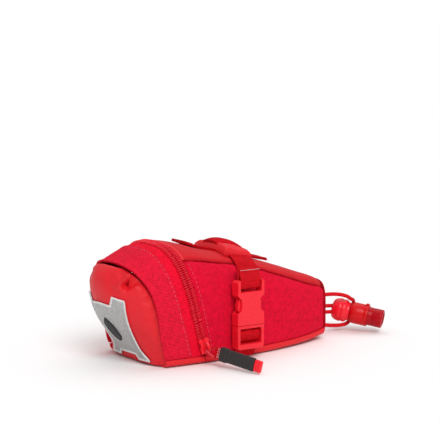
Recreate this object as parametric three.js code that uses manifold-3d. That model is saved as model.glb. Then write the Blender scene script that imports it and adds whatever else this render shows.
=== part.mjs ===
// A bicycle saddle bag with a zipped rear lid, two side-release buckles and an elastic toggle.
// Millimetres. +X points to the narrow nose, +Y to the bag's left, +Z up.
// The origin lies on the flat bottom face, midway between the sides.
import * as THREE from "three";
import { mergeVertices } from "three/addons/utils/BufferGeometryUtils.js";
import Module from "manifold-3d";

const wasm = await Module();
wasm.setup();

// ---------------------------------------------------------------- driving dimensions
const GAP = 0.3; // clearance kept between neighbouring pieces
const SHEET = 2.0; // padded fabric panel
const REAR_X = -59; // bottom edge of the rear panel
const NOSE_X = 98; // outside of the nose panel
const WRAP = 6; // height of the bottom panel's turned-up edge
const CORNER = 5; // radius of the bottom corners
const WIDEST = 0.36; // share of the height where the side stops being straight
const STRAIGHT = 0.25; // share of the rim parameter spent on the straight side

// Cross-sections, named by x at the bottom: lean back in degrees, height along the lean,
// half width, squareness of the shoulders, angle of the top seam, rise of the bottom.
const STATIONS = [
  { x: -62, lean: 17, height: 75.3, half: 38.5, square: 3.0, seam: 48, rise: 0 },
  { x: -42, lean: 15.5, height: 82.5, half: 40, square: 2.9, seam: 48, rise: 0 },
  { x: -26, lean: 14.5, height: 85.8, half: 40.8, square: 2.9, seam: 48, rise: 0 },
  { x: -12, lean: 12.5, height: 83.3, half: 40.2, square: 3.0, seam: 49.5, rise: 0 },
  { x: 0, lean: 11, height: 79.2, half: 39, square: 3.1, seam: 52.8, rise: 0 },
  { x: 25, lean: 7.5, height: 71.1, half: 36.3, square: 3.3, seam: 55, rise: 0 },
  { x: 50, lean: 4.5, height: 63, half: 32.5, square: 3.7, seam: 44.8, rise: 0.3 },
  { x: 75, lean: 2, height: 52.3, half: 26.5, square: 4.0, seam: 40.6, rise: 1 },
  { x: 98, lean: 0, height: 41.5, half: 18.8, square: 4.2, seam: 41, rise: 3 },
];

// Zip, from the body side to the lid side, by x at the bottom.
const FRONT_SEAM_X = -22.5;
const BODY_COIL_X = [-26.9, -24.2];
const LID_COIL_X = [-31, -28.3];
const LID_TAPE_X = [-42, -31.3];
const COIL_DEPTH = [0.2, 2.0]; // below the bag's surface
const HINGE_X = -28.5;

const WEBBING = 18; // strap width
const WEBBING_THICK = 1.3;
const STRAP_X = 4.5; // strap centre at the buckles
const STRAP_TOP_X = 24; // strap centre over the top, by x at the bottom
const STRAP_END_X = 20; // the same at the strap's ends, above the buckles

const SLIDER = { x: -27.6, height: 14, wide: 8.6, long: 11, thick: 2 };
const PULL = { yaw: -72, drop: 8, roll: 80, long: 47, wide: 9.5, thick: 3.6 };

const BUCKLE = {
  half: 11.6, // half width
  back: 41.7, // distance of the back face from the middle of the bag
  thick: 7.6,
  bottom: 8.2,
  parting: 25.8, // where female and male meet
  top: 58.4,
  window: 9.2, // half width of the webbing windows
};

const CORD = 3; // elastic cord diameter
const TOGGLE = {
  centre: new THREE.Vector3(127.6, 0, 16), // middle of the head
  axis: new THREE.Vector3(0.62, -0.76, -0.17).normalize(),
  headRadius: 9,
  neckRadius: 7.2,
  barrelRadius: 8.4,
  boreRadius: 7.6,
  plungerRadius: 7.2,
  barrelEnd: 22,
  plungerEnd: 34,
};

// Finish of each kind of material.
const FINISH = {
  coated: { color: 0xd8222f, roughness: 0.42, metalness: 0 },
  woven: { color: 0xc8102c, roughness: 0.85, metalness: 0 },
  webbing: { color: 0xa80f1f, roughness: 0.8, metalness: 0 },
  plastic: { color: 0xe0242f, roughness: 0.35, metalness: 0 },
  clearPlastic: { color: 0xd83a38, roughness: 0.25, metalness: 0 },
  darkPlastic: { color: 0x8c0a18, roughness: 0.4, metalness: 0 },
  reflective: { color: 0xb9bcbe, roughness: 0.35, metalness: 0.2 },
  coil: { color: 0xb00d22, roughness: 0.5, metalness: 0 },
  wire: { color: 0xa01020, roughness: 0.35, metalness: 0.6 },
  rubber: { color: 0x3a3c3e, roughness: 0.7, metalness: 0 },
  cord: { color: 0xb8101e, roughness: 0.7, metalness: 0 },
  board: { color: 0x2b2b2d, roughness: 0.6, metalness: 0 },
  foam: { color: 0x55565a, roughness: 0.9, metalness: 0 },
  steel: { color: 0x9a9ca0, roughness: 0.3, metalness: 1 },
  mark: { color: 0x4a4d50, roughness: 0.5, metalness: 0 },
};

const root = new THREE.Group();

function add(name, geometry, finish, parent = root) {
  const mesh = new THREE.Mesh(geometry, new THREE.MeshStandardMaterial(FINISH[finish]));
  mesh.name = name;
  parent.add(mesh);
  return mesh;
}

// ---------------------------------------------------------------- geometry helpers
const rad = THREE.MathUtils.degToRad;

function signedVolume(points, faces) {
  const cross = new THREE.Vector3();
  return faces.reduce((sum, [a, b, c]) => {
    cross.crossVectors(points[b], points[c]);
    return sum + points[a].dot(cross);
  }, 0);
}

// A closed body from points and triangles, turned so that its faces point out.
function body(points, faces) {
  const outward = signedVolume(points, faces) > 0;
  const index = faces.flatMap(([a, b, c]) => (outward ? [a, b, c] : [a, c, b]));
  const geometry = new THREE.BufferGeometry();
  const flat = points.flatMap((p) => [p.x, p.y, p.z]);
  geometry.setAttribute("position", new THREE.Float32BufferAttribute(flat, 3));
  geometry.setIndex(index);
  return geometry;
}

// A closed sheet: place(s, t, inner) gives a point of its outer or inner face, s and t in 0..1.
function sheet(stepsS, stepsT, place) {
  const points = [];
  const faces = [];
  const layer = (stepsS + 1) * (stepsT + 1);
  for (const inner of [false, true]) {
    for (let i = 0; i <= stepsT; i++) {
      for (let j = 0; j <= stepsS; j++) points.push(place(j / stepsS, i / stepsT, inner));
    }
  }
  const at = (i, j, inner) => (inner ? layer : 0) + i * (stepsS + 1) + j;
  const quad = (a, b, c, d) => faces.push([a, b, c], [a, c, d]);
  for (let i = 0; i < stepsT; i++) {
    for (let j = 0; j < stepsS; j++) {
      quad(at(i, j, 0), at(i, j + 1, 0), at(i + 1, j + 1, 0), at(i + 1, j, 0));
      quad(at(i, j, 1), at(i + 1, j, 1), at(i + 1, j + 1, 1), at(i, j + 1, 1));
    }
  }
  for (let i = 0; i < stepsT; i++) {
    quad(at(i, 0, 0), at(i + 1, 0, 0), at(i + 1, 0, 1), at(i, 0, 1));
    quad(at(i, stepsS, 0), at(i, stepsS, 1), at(i + 1, stepsS, 1), at(i + 1, stepsS, 0));
  }
  for (let j = 0; j < stepsS; j++) {
    quad(at(0, j, 0), at(0, j, 1), at(0, j + 1, 1), at(0, j + 1, 0));
    quad(at(stepsT, j, 0), at(stepsT, j + 1, 0), at(stepsT, j + 1, 1), at(stepsT, j, 1));
  }
  return body(points, faces);
}

function solid(geometry) {
  const bare = geometry.index ? geometry.clone() : mergeVertices(geometry);
  bare.deleteAttribute("normal");
  bare.deleteAttribute("uv");
  const merged = mergeVertices(bare, 1e-4);
  const vertProperties = new Float32Array(merged.attributes.position.array);
  const triVerts = new Uint32Array(merged.index.array);
  return new wasm.Manifold(new wasm.Mesh({ numProp: 3, vertProperties, triVerts }));
}

function geometryOf(made) {
  const mesh = made.getMesh();
  const geometry = new THREE.BufferGeometry();
  geometry.setAttribute("position", new THREE.BufferAttribute(mesh.vertProperties, 3));
  geometry.setIndex(new THREE.BufferAttribute(mesh.triVerts, 1));
  return geometry;
}

function joined(...parts) {
  return geometryOf(parts.map(solid).reduce((a, b) => a.add(b)));
}

function cut(base, ...tools) {
  return geometryOf(tools.map(solid).reduce((a, b) => a.subtract(b), solid(base)));
}

// A box between two corners.
function block(low, high) {
  const size = high.map((v, i) => v - low[i]);
  const middle = high.map((v, i) => (v + low[i]) / 2);
  return new THREE.BoxGeometry(...size).translate(...middle);
}

// A tube of a round section along a curve.
function tube(curve, radius, sides, steps) {
  const shape = new THREE.Shape();
  for (let i = 0; i < sides; i++) {
    const a = (2 * Math.PI * i) / sides;
    const put = i ? "lineTo" : "moveTo";
    shape[put](radius * Math.cos(a), radius * Math.sin(a));
  }
  shape.closePath();
  return new THREE.ExtrudeGeometry(shape, { steps, bevelEnabled: false, extrudePath: curve });
}

// A closed ring of round wire along a flat loop of points, with the loop's normal given.
function wireRing(points, normal, radius, sides) {
  const made = [];
  const faces = [];
  const count = points.length;
  points.forEach((p, i) => {
    const ahead = points[(i + 1) % count].clone().sub(points[(i + count - 1) % count]);
    const out = new THREE.Vector3().crossVectors(ahead, normal).normalize();
    const up = new THREE.Vector3().crossVectors(out, ahead).normalize();
    for (let j = 0; j < sides; j++) {
      const a = (2 * Math.PI * j) / sides;
      const offset = out.clone().multiplyScalar(radius * Math.cos(a));
      offset.addScaledVector(up, radius * Math.sin(a));
      made.push(p.clone().add(offset));
    }
  });
  for (let i = 0; i < count; i++) {
    for (let j = 0; j < sides; j++) {
      const k = (j + 1) % sides;
      const next = (i + 1) % count;
      const [a, b] = [i * sides + j, i * sides + k];
      const [c, d] = [next * sides + k, next * sides + j];
      faces.push([a, b, c], [a, c, d]);
    }
  }
  return body(made, faces);
}

// A rounded rectangle centred on the origin of its plane.
function roundedRect(width, height, radius) {
  const [w, h, r] = [width / 2, height / 2, radius];
  const shape = new THREE.Shape();
  shape.moveTo(-w + r, -h);
  shape.lineTo(w - r, -h);
  shape.absarc(w - r, -h + r, r, -Math.PI / 2, 0);
  shape.lineTo(w, h - r);
  shape.absarc(w - r, h - r, r, 0, Math.PI / 2);
  shape.lineTo(-w + r, h);
  shape.absarc(-w + r, h - r, r, Math.PI / 2, Math.PI);
  shape.lineTo(-w, -h + r);
  shape.absarc(-w + r, -h + r, r, Math.PI, 1.5 * Math.PI);
  return shape;
}

// ---------------------------------------------------------------- the bag's outer form
// A value of the stations at x, on a smooth curve through them.
function along(x, key) {
  const last = STATIONS.length - 1;
  let i = 0;
  while (i < last - 1 && x > STATIONS[i + 1].x) i++;
  const slope = (k) => {
    const [a, b] = [STATIONS[Math.max(k - 1, 0)], STATIONS[Math.min(k + 1, last)]];
    return (b[key] - a[key]) / (b.x - a.x);
  };
  const [p, q] = [STATIONS[i], STATIONS[i + 1]];
  const span = q.x - p.x;
  const t = THREE.MathUtils.clamp((x - p.x) / span, 0, 1);
  const [t2, t3] = [t * t, t * t * t];
  return (
    (2 * t3 - 3 * t2 + 1) * p[key] +
    (t3 - 2 * t2 + t) * span * slope(i) +
    (3 * t2 - 2 * t3) * q[key] +
    (t3 - t2) * span * slope(i + 1)
  );
}

// The half outline of the section at x: v = 0 at the wrapped edge, 1 at the crest. Gives [y, h].
function halfOutline(x, v) {
  const height = along(x, "height");
  const half = along(x, "half");
  const power = 2 / along(x, "square");
  const widest = WIDEST * height;
  if (v <= STRAIGHT) return [half, WRAP + ((widest - WRAP) * v) / STRAIGHT];
  const angle = ((Math.PI / 2) * (v - STRAIGHT)) / (1 - STRAIGHT);
  const y = half * Math.pow(Math.max(Math.cos(angle), 0), power);
  return [y, widest + (height - widest) * Math.pow(Math.sin(angle), power)];
}

// A point of the section plane at x, from its half breadth y, height h up the lean, and side.
// How far the seam of the rear panel bows forwards at a share of the height. It fades towards
// the zip.
const BOW = 5;
const BOW_FADE = [-59, -36];
function bow(x, up) {
  const share = THREE.MathUtils.clamp(up, 0, 1);
  const fade = 1 - THREE.MathUtils.smoothstep(x, BOW_FADE[0], BOW_FADE[1]);
  return BOW * fade * Math.sin(Math.PI * share * share);
}

function lean(x, y, h, side) {
  const angle = rad(along(x, "lean"));
  const z = Math.max(along(x, "rise"), 0) + h * Math.cos(angle);
  const forward = bow(x, h / along(x, "height")) - h * Math.sin(angle);
  return new THREE.Vector3(x + forward, side * y, z);
}

// A point of the rim, moved inwards by inset; side is -1 on the right and +1 on the left.
function rim(x, v, side, inset) {
  const step = 0.002;
  const [y0, h0] = halfOutline(x, Math.max(v - step, 0));
  const [y1, h1] = halfOutline(x, Math.min(v + step, 1));
  const [y, h] = halfOutline(x, v);
  const length = Math.hypot(y1 - y0, h1 - h0);
  const crest = v > 1 - step;
  const inY = crest ? 0 : -(h1 - h0) / length;
  const inH = crest ? -1 : (y1 - y0) / length;
  return lean(x, y + inset * inY, h + inset * inH, side);
}

const mix = THREE.MathUtils.lerp;
const seamAt = (x) => STRAIGHT + (1 - STRAIGHT) * (along(x, "seam") / 90);

// A strip that follows the rim over the top, from one wrapped edge to the other.
function arch(xs, depths, steps, stepsX = 1) {
  return sheet(steps, stepsX, (s, t, inner) => {
    const u = 2 * s - 1;
    return rim(mix(xs[0], xs[1], t), 1 - Math.abs(u), u < 0 ? -1 : 1, depths[inner ? 1 : 0]);
  });
}

// Half breadth and height along the bottom panel's section, s = 0..1 from right to left.
function bottomPath(x, inset) {
  const half = along(x, "half") - inset;
  const radius = CORNER - inset;
  const path = [[-half, WRAP - GAP - GAP]];
  for (let i = 0; i <= 4; i++) {
    const a = Math.PI + (Math.PI / 8) * i;
    path.push([-half + radius + radius * Math.cos(a), CORNER + radius * Math.sin(a)]);
  }
  return [...path, ...path.map(([y, h]) => [-y, h]).reverse()];
}

function bottomPanel(x0, x1, steps) {
  const count = bottomPath(x0, 0).length - 1;
  return sheet(count, steps, (s, t, inner) => {
    const x = mix(x0, x1, t);
    const [y, h] = bottomPath(x, inner ? SHEET : 0)[Math.round(s * count)];
    return lean(x, y, h, 1);
  });
}

// ---------------------------------------------------------------- body panels
const BODY_FRONT_X = NOSE_X - SHEET - GAP; // front edge of the side and top panels
const EDGE = 0.006; // half gap between panels, as a share of the rim

function sidePanel(side) {
  return sheet(12, 14, (s, t, inner) => {
    const x = mix(FRONT_SEAM_X, BODY_FRONT_X, t);
    return rim(x, s * (seamAt(x) - EDGE), side, inner ? SHEET : 0);
  });
}

function topPanel() {
  return sheet(14, 14, (s, t, inner) => {
    const x = mix(FRONT_SEAM_X, BODY_FRONT_X, t);
    const u = 2 * s - 1;
    const v = mix(1, seamAt(x) + EDGE, Math.abs(u));
    return rim(x, v, u < 0 ? -1 : 1, inner ? SHEET : 0);
  });
}

const LEVEL_BELOW = 15; // height under which the end panels bulge straight back

// Fills the section at x: s runs across, t up; bulge(share across, share up) pushes it outwards.
function endPanel(x, steps, bulge, direction) {
  const height = along(x, "height");
  const widest = WIDEST * height;
  const half = along(x, "half");
  const power = along(x, "square");
  const halfAt = (h) => {
    if (h < CORNER) return half - CORNER + Math.sqrt(CORNER ** 2 - (CORNER - h) ** 2);
    if (h < widest) return half;
    return half * Math.pow(1 - Math.pow((h - widest) / (height - widest), power), 1 / power);
  };
  return sheet(steps, steps, (s, t, inner) => {
    const up = Math.sin((t * Math.PI) / 2);
    const across = Math.sin(((2 * s - 1) * Math.PI) / 2);
    const h = mix(0.4, height * 0.995, up);
    const push = bulge(across, h / height) + (inner ? 0 : SHEET);
    return lean(x, across * halfAt(h), h, 1).addScaledVector(outward(x, h), direction * push);
  });
}

// Rearwards from the section plane at x, turning level near the bottom so that nothing dips
// below the bag.
function outward(x, h) {
  const angle = rad(along(x, "lean"));
  const dip = Math.sin(angle) * Math.min(h / LEVEL_BELOW, 1);
  return new THREE.Vector3(-Math.cos(angle), 0, -dip);
}

// How far the rear panel stands out of its plane: fullest under the lip, nothing at its seam.
const REAR_BULGE = { bottom: 4, lip: 15, from: 0.08, full: 0.68 }; // the last two up the height
function rearBulge(across, up) {
  const climb = THREE.MathUtils.smoothstep(up, REAR_BULGE.from, REAR_BULGE.full);
  const rise = mix(REAR_BULGE.bottom, REAR_BULGE.lip, climb) + bow(REAR_X, up);
  return rise * (1 - Math.pow(up, 22)) * (1 - Math.pow(Math.abs(across), 2.2));
}

// The loop leaves the nose, passes round the far side of the toggle's neck and comes back.
const LOOP_ROUTE = [
  [92.5, 5, 27],
  [99, 5, 27],
  [104.5, 2.5, 28.2],
  [110.5, -1.5, 30],
  [118.5, -5.8, 30.2],
  [126, -8, 28.4],
  [131, -7.6, 25.6],
  [135.6, -5, 23.7],
  [138.9, -1.7, 20],
  [139.4, 0.6, 14.8],
  [138.2, 0.4, 9.8],
  [134.4, -1.6, 6.2],
  [128.6, -3.2, 4.8],
  [120.5, -1.5, 4.5],
  [111.5, 1.8, 5.6],
  [104.5, 4.4, 8.4],
  [99, 5, 9.6],
  [92.5, 5, 9.6],
];
const STRAND_ROUTE = [
  [92.5, 5, 0],
  [99, 5, 0],
  [105, 4.6, 0],
  [112, 4, -0.2],
  [119, 2.9, -0.5],
  [126.2, 1, -0.9],
];
const STRAND_HEIGHTS = { upper: 20.2, lower: 15.3 };
const PLATE_X = NOSE_X - 5.5; // rear face of the plate that holds the cord knots
const CORD_CLEAR = 0.4;

// The holes that the four cord ends leave the nose by.
function cordHoles() {
  const ends = [LOOP_ROUTE[0], LOOP_ROUTE.at(-1)];
  for (const rise of Object.values(STRAND_HEIGHTS)) {
    const [x, y, z] = STRAND_ROUTE[0];
    ends.push([x, y, z + rise]);
  }
  return ends.map(([x, y, z]) => {
    const hole = new THREE.CylinderGeometry(CORD / 2 + CORD_CLEAR, CORD / 2 + CORD_CLEAR, 12, 12);
    return hole.rotateZ(Math.PI / 2).translate(x + 2, y, z);
  });
}

function addBodyPanels() {
  add("bottom_panel", bottomPanel(HINGE_X + GAP, BODY_FRONT_X, 10), "coated");
  add("right_side_panel", sidePanel(-1), "woven");
  add("left_side_panel", sidePanel(1), "woven");
  add("top_panel", topPanel(), "coated");
  const nose = endPanel(NOSE_X, 10, () => 0, -1).translate(-SHEET, 0, 0);
  add("nose_panel", cut(nose, ...cordHoles()), "woven");
  // A stiff board lies loose on the bottom, and a plate in the nose holds the cord knots.
  const board = new THREE.Shape();
  const [rear, taper, front, wide, narrow] = [-18, 5, 60, 35, 26];
  board.moveTo(rear, -wide);
  board.lineTo(taper, -wide);
  board.lineTo(front, -narrow);
  board.lineTo(front, narrow);
  board.lineTo(taper, wide);
  board.lineTo(rear, wide);
  const boardThick = 1.5;
  const boardRise = SHEET + 1;
  const flat = new THREE.ExtrudeGeometry(board, { depth: boardThick, bevelEnabled: false });
  add("base_stiffener", flat.translate(0, 0, boardRise), "board");
  const plate = roundedRect(30, 28, 4);
  const upright = new THREE.ExtrudeGeometry(plate, {
    depth: 1.5,
    bevelEnabled: false,
    curveSegments: 4,
  });
  upright.rotateX(Math.PI / 2).rotateZ(Math.PI / 2);
  upright.translate(PLATE_X, 0, 20);
  add("nose_anchor_plate", cut(upright, ...cordHoles()), "board");
}

// ---------------------------------------------------------------- zip
const RIM_STEPS = 36;

function coilArch(xs) {
  return arch(xs, COIL_DEPTH, RIM_STEPS);
}

// The stop on each end of the body's coil, just above the bottom panel's turned-up edge.
function zipStop(side) {
  const x = (BODY_COIL_X[0] + BODY_COIL_X[1]) / 2;
  const [wide, tall, thick] = [2.6, 1.9, 1.2];
  const face = along(x, "half") - COIL_DEPTH[0] + GAP;
  return sheet(1, 1, (s, t, inner) => {
    return lean(x + (s - 0.5) * wide, face + (inner ? 0 : thick), WRAP + t * tall, side);
  });
}

function addBodyZip() {
  add("body_zip_coil", coilArch(BODY_COIL_X), "coil");
  const tape = arch([FRONT_SEAM_X - 1.4, FRONT_SEAM_X + 9], [SHEET + GAP, SHEET + 1.1], RIM_STEPS);
  add("body_zip_tape", tape, "webbing");
  add("right_zip_stop", zipStop(-1), "steel");
  add("left_zip_stop", zipStop(1), "steel");
}

// ---------------------------------------------------------------- lid
// Rear patch: half breadths and heights up the lean. Two horns stand either side of the dip in
// its upper edge, and a notch is cut into the lower edge.
const PATCH = {
  thick: 0.5,
  bottom: 4.3,
  notchTop: 8.8,
  dip: 52.2,
  hornTip: 58.8,
  hornEdge: 55.2,
  waist: 17.6, // half breadth above the flared foot
  foot: 8.5, // how much wider the foot is at its lowest, fading over footFade
  footFade: 8.5,
  shoulder: 4.8, // how much wider the horns are than the waist
  notch: 0.5, // share of the half breadth
  inner: 0.53,
  horn: 0.66,
};
const PATCH_COLUMNS = [0, 0.25, 0.48, 0.5, 0.52, 0.54, 0.66, 0.8, 1];
const patchHalf = (h) =>
  PATCH.waist +
  PATCH.foot * Math.exp(-((h / PATCH.footFade) ** 2)) +
  PATCH.shoulder * THREE.MathUtils.smoothstep(h, 12, 57);

function rearPoint(y, h, proud) {
  const x = REAR_X - GAP;
  const height = along(x, "height");
  const widest = WIDEST * height;
  const power = along(x, "square");
  const share = Math.max(h - widest, 0) / (height - widest);
  const half = along(x, "half") * Math.pow(1 - Math.pow(share, power), 1 / power);
  const push = SHEET + rearBulge(y / half, h / height) + proud;
  return lean(x, y, h, 1).addScaledVector(outward(x, h), push);
}

function patch() {
  const columns = [...PATCH_COLUMNS.slice(1).map((c) => -c).reverse(), ...PATCH_COLUMNS];
  const last = columns.length - 1;
  return sheet(last, 10, (s, t, inner) => {
    const share = columns[Math.round(s * last)];
    const size = Math.abs(share);
    const low = size < PATCH.notch ? PATCH.notchTop : PATCH.bottom;
    const climb = (size - PATCH.inner) / (PATCH.horn - PATCH.inner);
    const fall = (size - PATCH.horn) / (1 - PATCH.horn);
    const horn =
      fall > 0 ? mix(PATCH.hornTip, PATCH.hornEdge, fall) : mix(PATCH.dip, PATCH.hornTip, climb);
    const h = mix(low, size < PATCH.inner ? PATCH.dip : horn, t);
    return rearPoint(share * patchHalf(h), h, GAP + (inner ? 0 : PATCH.thick));
  });
}

// A plain six-sided badge in the middle of the patch.
function badge() {
  const [halfWide, halfTall, middle] = [6.6, 11.5, 31];
  return sheet(6, 8, (s, t, inner) => {
    const up = 2 * t - 1;
    const half = halfWide * (1 - 0.35 * Math.pow(Math.abs(up), 3));
    const proud = 2 * GAP + PATCH.thick + (inner ? 0 : 0.6);
    return rearPoint((2 * s - 1) * half, middle + up * halfTall, proud);
  });
}

function rearFoam() {
  return sheet(8, 8, (s, t, inner) => {
    const h = mix(8, 56, t);
    const half = mix(34, 25, t * t);
    return lean(REAR_X + (inner ? 4 : 1), (2 * s - 1) * half, h, 1);
  });
}

function addLid() {
  add("rear_panel", endPanel(REAR_X - GAP, 14, rearBulge, 1), "coated");
  add("lid_band", arch([REAR_X, LID_TAPE_X[0] - GAP], [0, SHEET], RIM_STEPS, 3), "woven");
  add("lid_bottom_panel", bottomPanel(REAR_X, HINGE_X - GAP, 2), "coated");
  add("lid_zip_tape", arch(LID_TAPE_X, [0.4, 1.6], RIM_STEPS, 2), "webbing");
  add("lid_zip_coil", coilArch(LID_COIL_X), "coil");
  add("reflective_patch", patch(), "reflective");
  add("badge", badge(), "mark");
  add("rear_foam", rearFoam(), "foam");
}

// ---------------------------------------------------------------- straps over the top
// A band lying across the bag: us is its run from right (-1) to left (+1) over the crest, lift(u)
// is its height above the surface and centre(u) its x.
function crossBand(us, width, thick, centre, lift, steps) {
  return sheet(steps, 2, (s, t, inner) => {
    const u = mix(us[0], us[1], s);
    const x = centre(u) + (t - 0.5) * width;
    const off = -lift(u) - (inner ? 0 : thick);
    return rim(x, 1 - Math.abs(u), u < 0 ? -1 : 1, off);
  });
}

const STRIP_X = [-8, 53];
const STRIP_LIFT = 0.5;
const STRIP_THICK = 1.4;
const STRAP_LIFT = STRIP_LIFT + STRIP_THICK + 0.4;
const PAD_THICK = 3.4;
const PAD_LONG = 20;
const PAD_HALF_U = 0.17;
const STRAP_HALF_U = 0.5;
const bump = (u, width) => Math.exp(-((u / width) ** 2));

function addTopStraps() {
  const strip = sheet(4, 20, (s, t, inner) => {
    const x = mix(STRIP_X[0], STRIP_X[1], t);
    const ends = bump(t, 0.1) + bump(1 - t, 0.1);
    const point = rim(x, 1, 1, -(STRIP_LIFT + ends) - (inner ? 0 : STRIP_THICK + ends));
    point.y = (s - 0.5) * WEBBING;
    return point;
  });
  add("top_strip", strip, "webbing");

  const shift = (u) => mix(STRAP_TOP_X, STRAP_END_X, Math.pow(Math.abs(u) / STRAP_HALF_U, 3));
  const strapLift = (u) => 0.4 + (STRAP_LIFT - 0.4) * bump(u, 0.36);
  const strap = crossBand([-STRAP_HALF_U, STRAP_HALF_U], WEBBING, WEBBING_THICK, shift, strapLift, 32);
  add("cross_webbing", strap, "webbing");

  const padLift = (u) => strapLift(u) + WEBBING_THICK + 0.4;
  const padShape = crossBand(
    [-PAD_HALF_U, PAD_HALF_U],
    PAD_LONG,
    PAD_THICK,
    () => STRAP_TOP_X,
    padLift,
    24,
  );
  add("strap_pad", padShape, "coated");

  // A short lengthwise webbing sewn flat over the pad.
  const over = padLift(0) + PAD_THICK + 0.4;
  const keeper = sheet(4, 10, (s, t, inner) => {
    const x = mix(15, 34, t);
    const rise = Math.sin(Math.PI * t) ** 0.5;
    const point = rim(x, 1, 1, -over - (inner ? 0 : 1.4 + 1.6 * rise));
    point.y = (s - 0.5) * WEBBING;
    return point;
  });
  add("pad_keeper", keeper, "webbing");
}

// ---------------------------------------------------------------- side-release buckles
// Extrudes an outline drawn in x and z through the thickness from..to, outwards on the given side.
function plate(shape, from, to, side, curveSegments = 3) {
  const options = { depth: to - from, bevelEnabled: false, curveSegments };
  const geometry = new THREE.ExtrudeGeometry(shape, options);
  geometry.rotateX(Math.PI / 2); // outline's y becomes z, depth runs to -y
  geometry.translate(STRAP_X, -from, 0);
  return side < 0 ? geometry : body(...mirrored(geometry));
}

function mirrored(geometry) {
  const merged = mergeVertices(barePosition(geometry), 1e-4);
  const p = merged.attributes.position;
  const points = Array.from({ length: p.count }, (_, i) => {
    return new THREE.Vector3(p.getX(i), -p.getY(i), p.getZ(i));
  });
  const index = merged.index.array;
  const faces = Array.from({ length: index.length / 3 }, (_, i) => {
    return [index[3 * i], index[3 * i + 1], index[3 * i + 2]];
  });
  return [points, faces];
}

function barePosition(geometry) {
  const bare = new THREE.BufferGeometry();
  bare.setAttribute("position", geometry.getAttribute("position").clone());
  if (geometry.index) bare.setIndex(geometry.index);
  return bare;
}

function rectPath(x0, z0, x1, z1) {
  const path = new THREE.Path();
  path.moveTo(x0, z0);
  path.lineTo(x0, z1);
  path.lineTo(x1, z1);
  path.lineTo(x1, z0);
  path.closePath();
  return path;
}

// A plate outline, symmetric about the buckle's middle, from its right half bottom to top.
function symmetric(half) {
  const shape = new THREE.Shape();
  shape.moveTo(...half[0]);
  half.slice(1).forEach((p) => shape.lineTo(...p));
  [...half].reverse().forEach(([x, z]) => shape.lineTo(-x, z));
  shape.closePath();
  return shape;
}

// A strip of webbing bent along [outward, z] points, lying across the strap's width.
function ribbon(points, thick, halfWidth, side) {
  const last = points.length - 1;
  return sheet(1, last, (s, t, inner) => {
    const i = Math.round(t * last);
    const [a, b] = [points[Math.max(i - 1, 0)], points[Math.min(i + 1, last)]];
    const length = Math.hypot(b[0] - a[0], b[1] - a[1]);
    const off = (inner ? -0.5 : 0.5) * thick;
    const out = points[i][0] + (off * (b[1] - a[1])) / length;
    const z = points[i][1] - (off * (b[0] - a[0])) / length;
    return new THREE.Vector3(STRAP_X + (2 * s - 1) * halfWidth, side * out, z);
  });
}

// A block around the strap's middle: u across, outward distance, z.
function buckleBlock(u, out, z, side) {
  const y = side < 0 ? [-out[1], -out[0]] : out;
  return block([STRAP_X + u[0], y[0], z[0]], [STRAP_X + u[1], y[1], z[1]]);
}

const CHANNEL = { half: 10.5, wall: 1.5, top: 47.8 };
const ARM = { inner: 6.6, outer: 8.8, lobe: 10.2, foot: 25.85, tip: 45.8 };
const FEMALE_WINDOW = [50, 53.8]; // heights of the female's webbing window
const MALE_WINDOW = [12, 23.2];
const STEM_TOP = 42;
const BAR_RECESS = 2.2; // the female's bar lies this deep on both faces

function femaleShell(side) {
  const { half, back, thick, parting, top, window } = BUCKLE;
  const outline = symmetric([
    [half, parting],
    [half, 34],
    [10.4, 35.2],
    [8.7, 36.4],
    [8, 38.8],
    [8, 42.6],
    [8.6, 45],
    [10.3, 46.4],
    [half, 47.6],
    [half, top - 1.5],
    [half - 1.5, top],
  ]);
  outline.holes.push(rectPath(-window, FEMALE_WINDOW[0], window, FEMALE_WINDOW[1]));
  const front = back + thick;
  return cut(
    plate(outline, back, front, side),
    buckleBlock(
      [-CHANNEL.half, CHANNEL.half],
      [back + CHANNEL.wall, front - CHANNEL.wall],
      [parting - 1, CHANNEL.top],
      side,
    ),
    buckleBlock([-window, window], [front - BAR_RECESS, front + 1], [FEMALE_WINDOW[0], top + 1], side),
    buckleBlock([-window, window], [back - 1, back + BAR_RECESS], [FEMALE_WINDOW[0], top + 1], side),
  );
}

function maleBase(side) {
  const { half, back, thick, bottom, parting, window } = BUCKLE;
  const shoulder = parting - GAP;
  const outline = symmetric([
    [half - 1.5, bottom],
    [half, bottom + 1.5],
    [half, shoulder],
  ]);
  outline.holes.push(rectPath(-window, MALE_WINDOW[0], window, MALE_WINDOW[1]));
  const inside = [back + CHANNEL.wall + GAP, back + thick - CHANNEL.wall - GAP];
  return joined(
    plate(outline, back, back + thick, side),
    buckleBlock([-2.6, 2.6], inside, [shoulder - 1, STEM_TOP], side),
  );
}

// The sprung arm on one edge of the male base: end is +1 towards the nose, -1 towards the rear.
function squeezeArm(side, end) {
  const { inner, outer, lobe, foot, tip } = ARM;
  const points = [
    [inner + 0.5, foot],
    [outer - 0.5, foot],
    [outer, foot + 0.8],
    [outer, 34.5],
    [lobe, 37.2],
    [lobe, 41.5],
    [lobe - 1.1, tip - 1],
    [lobe - 2.2, tip],
    [inner + 0.6, tip - 0.6],
    [inner, 34.5],
    [inner, foot + 0.8],
  ];
  const shape = new THREE.Shape();
  points.forEach(([u, z], i) => shape[i ? "lineTo" : "moveTo"](end * u, z));
  shape.closePath();
  const { back, thick } = BUCKLE;
  return plate(shape, back + CHANNEL.wall + GAP, back + thick - CHANNEL.wall - GAP, side);
}

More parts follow.
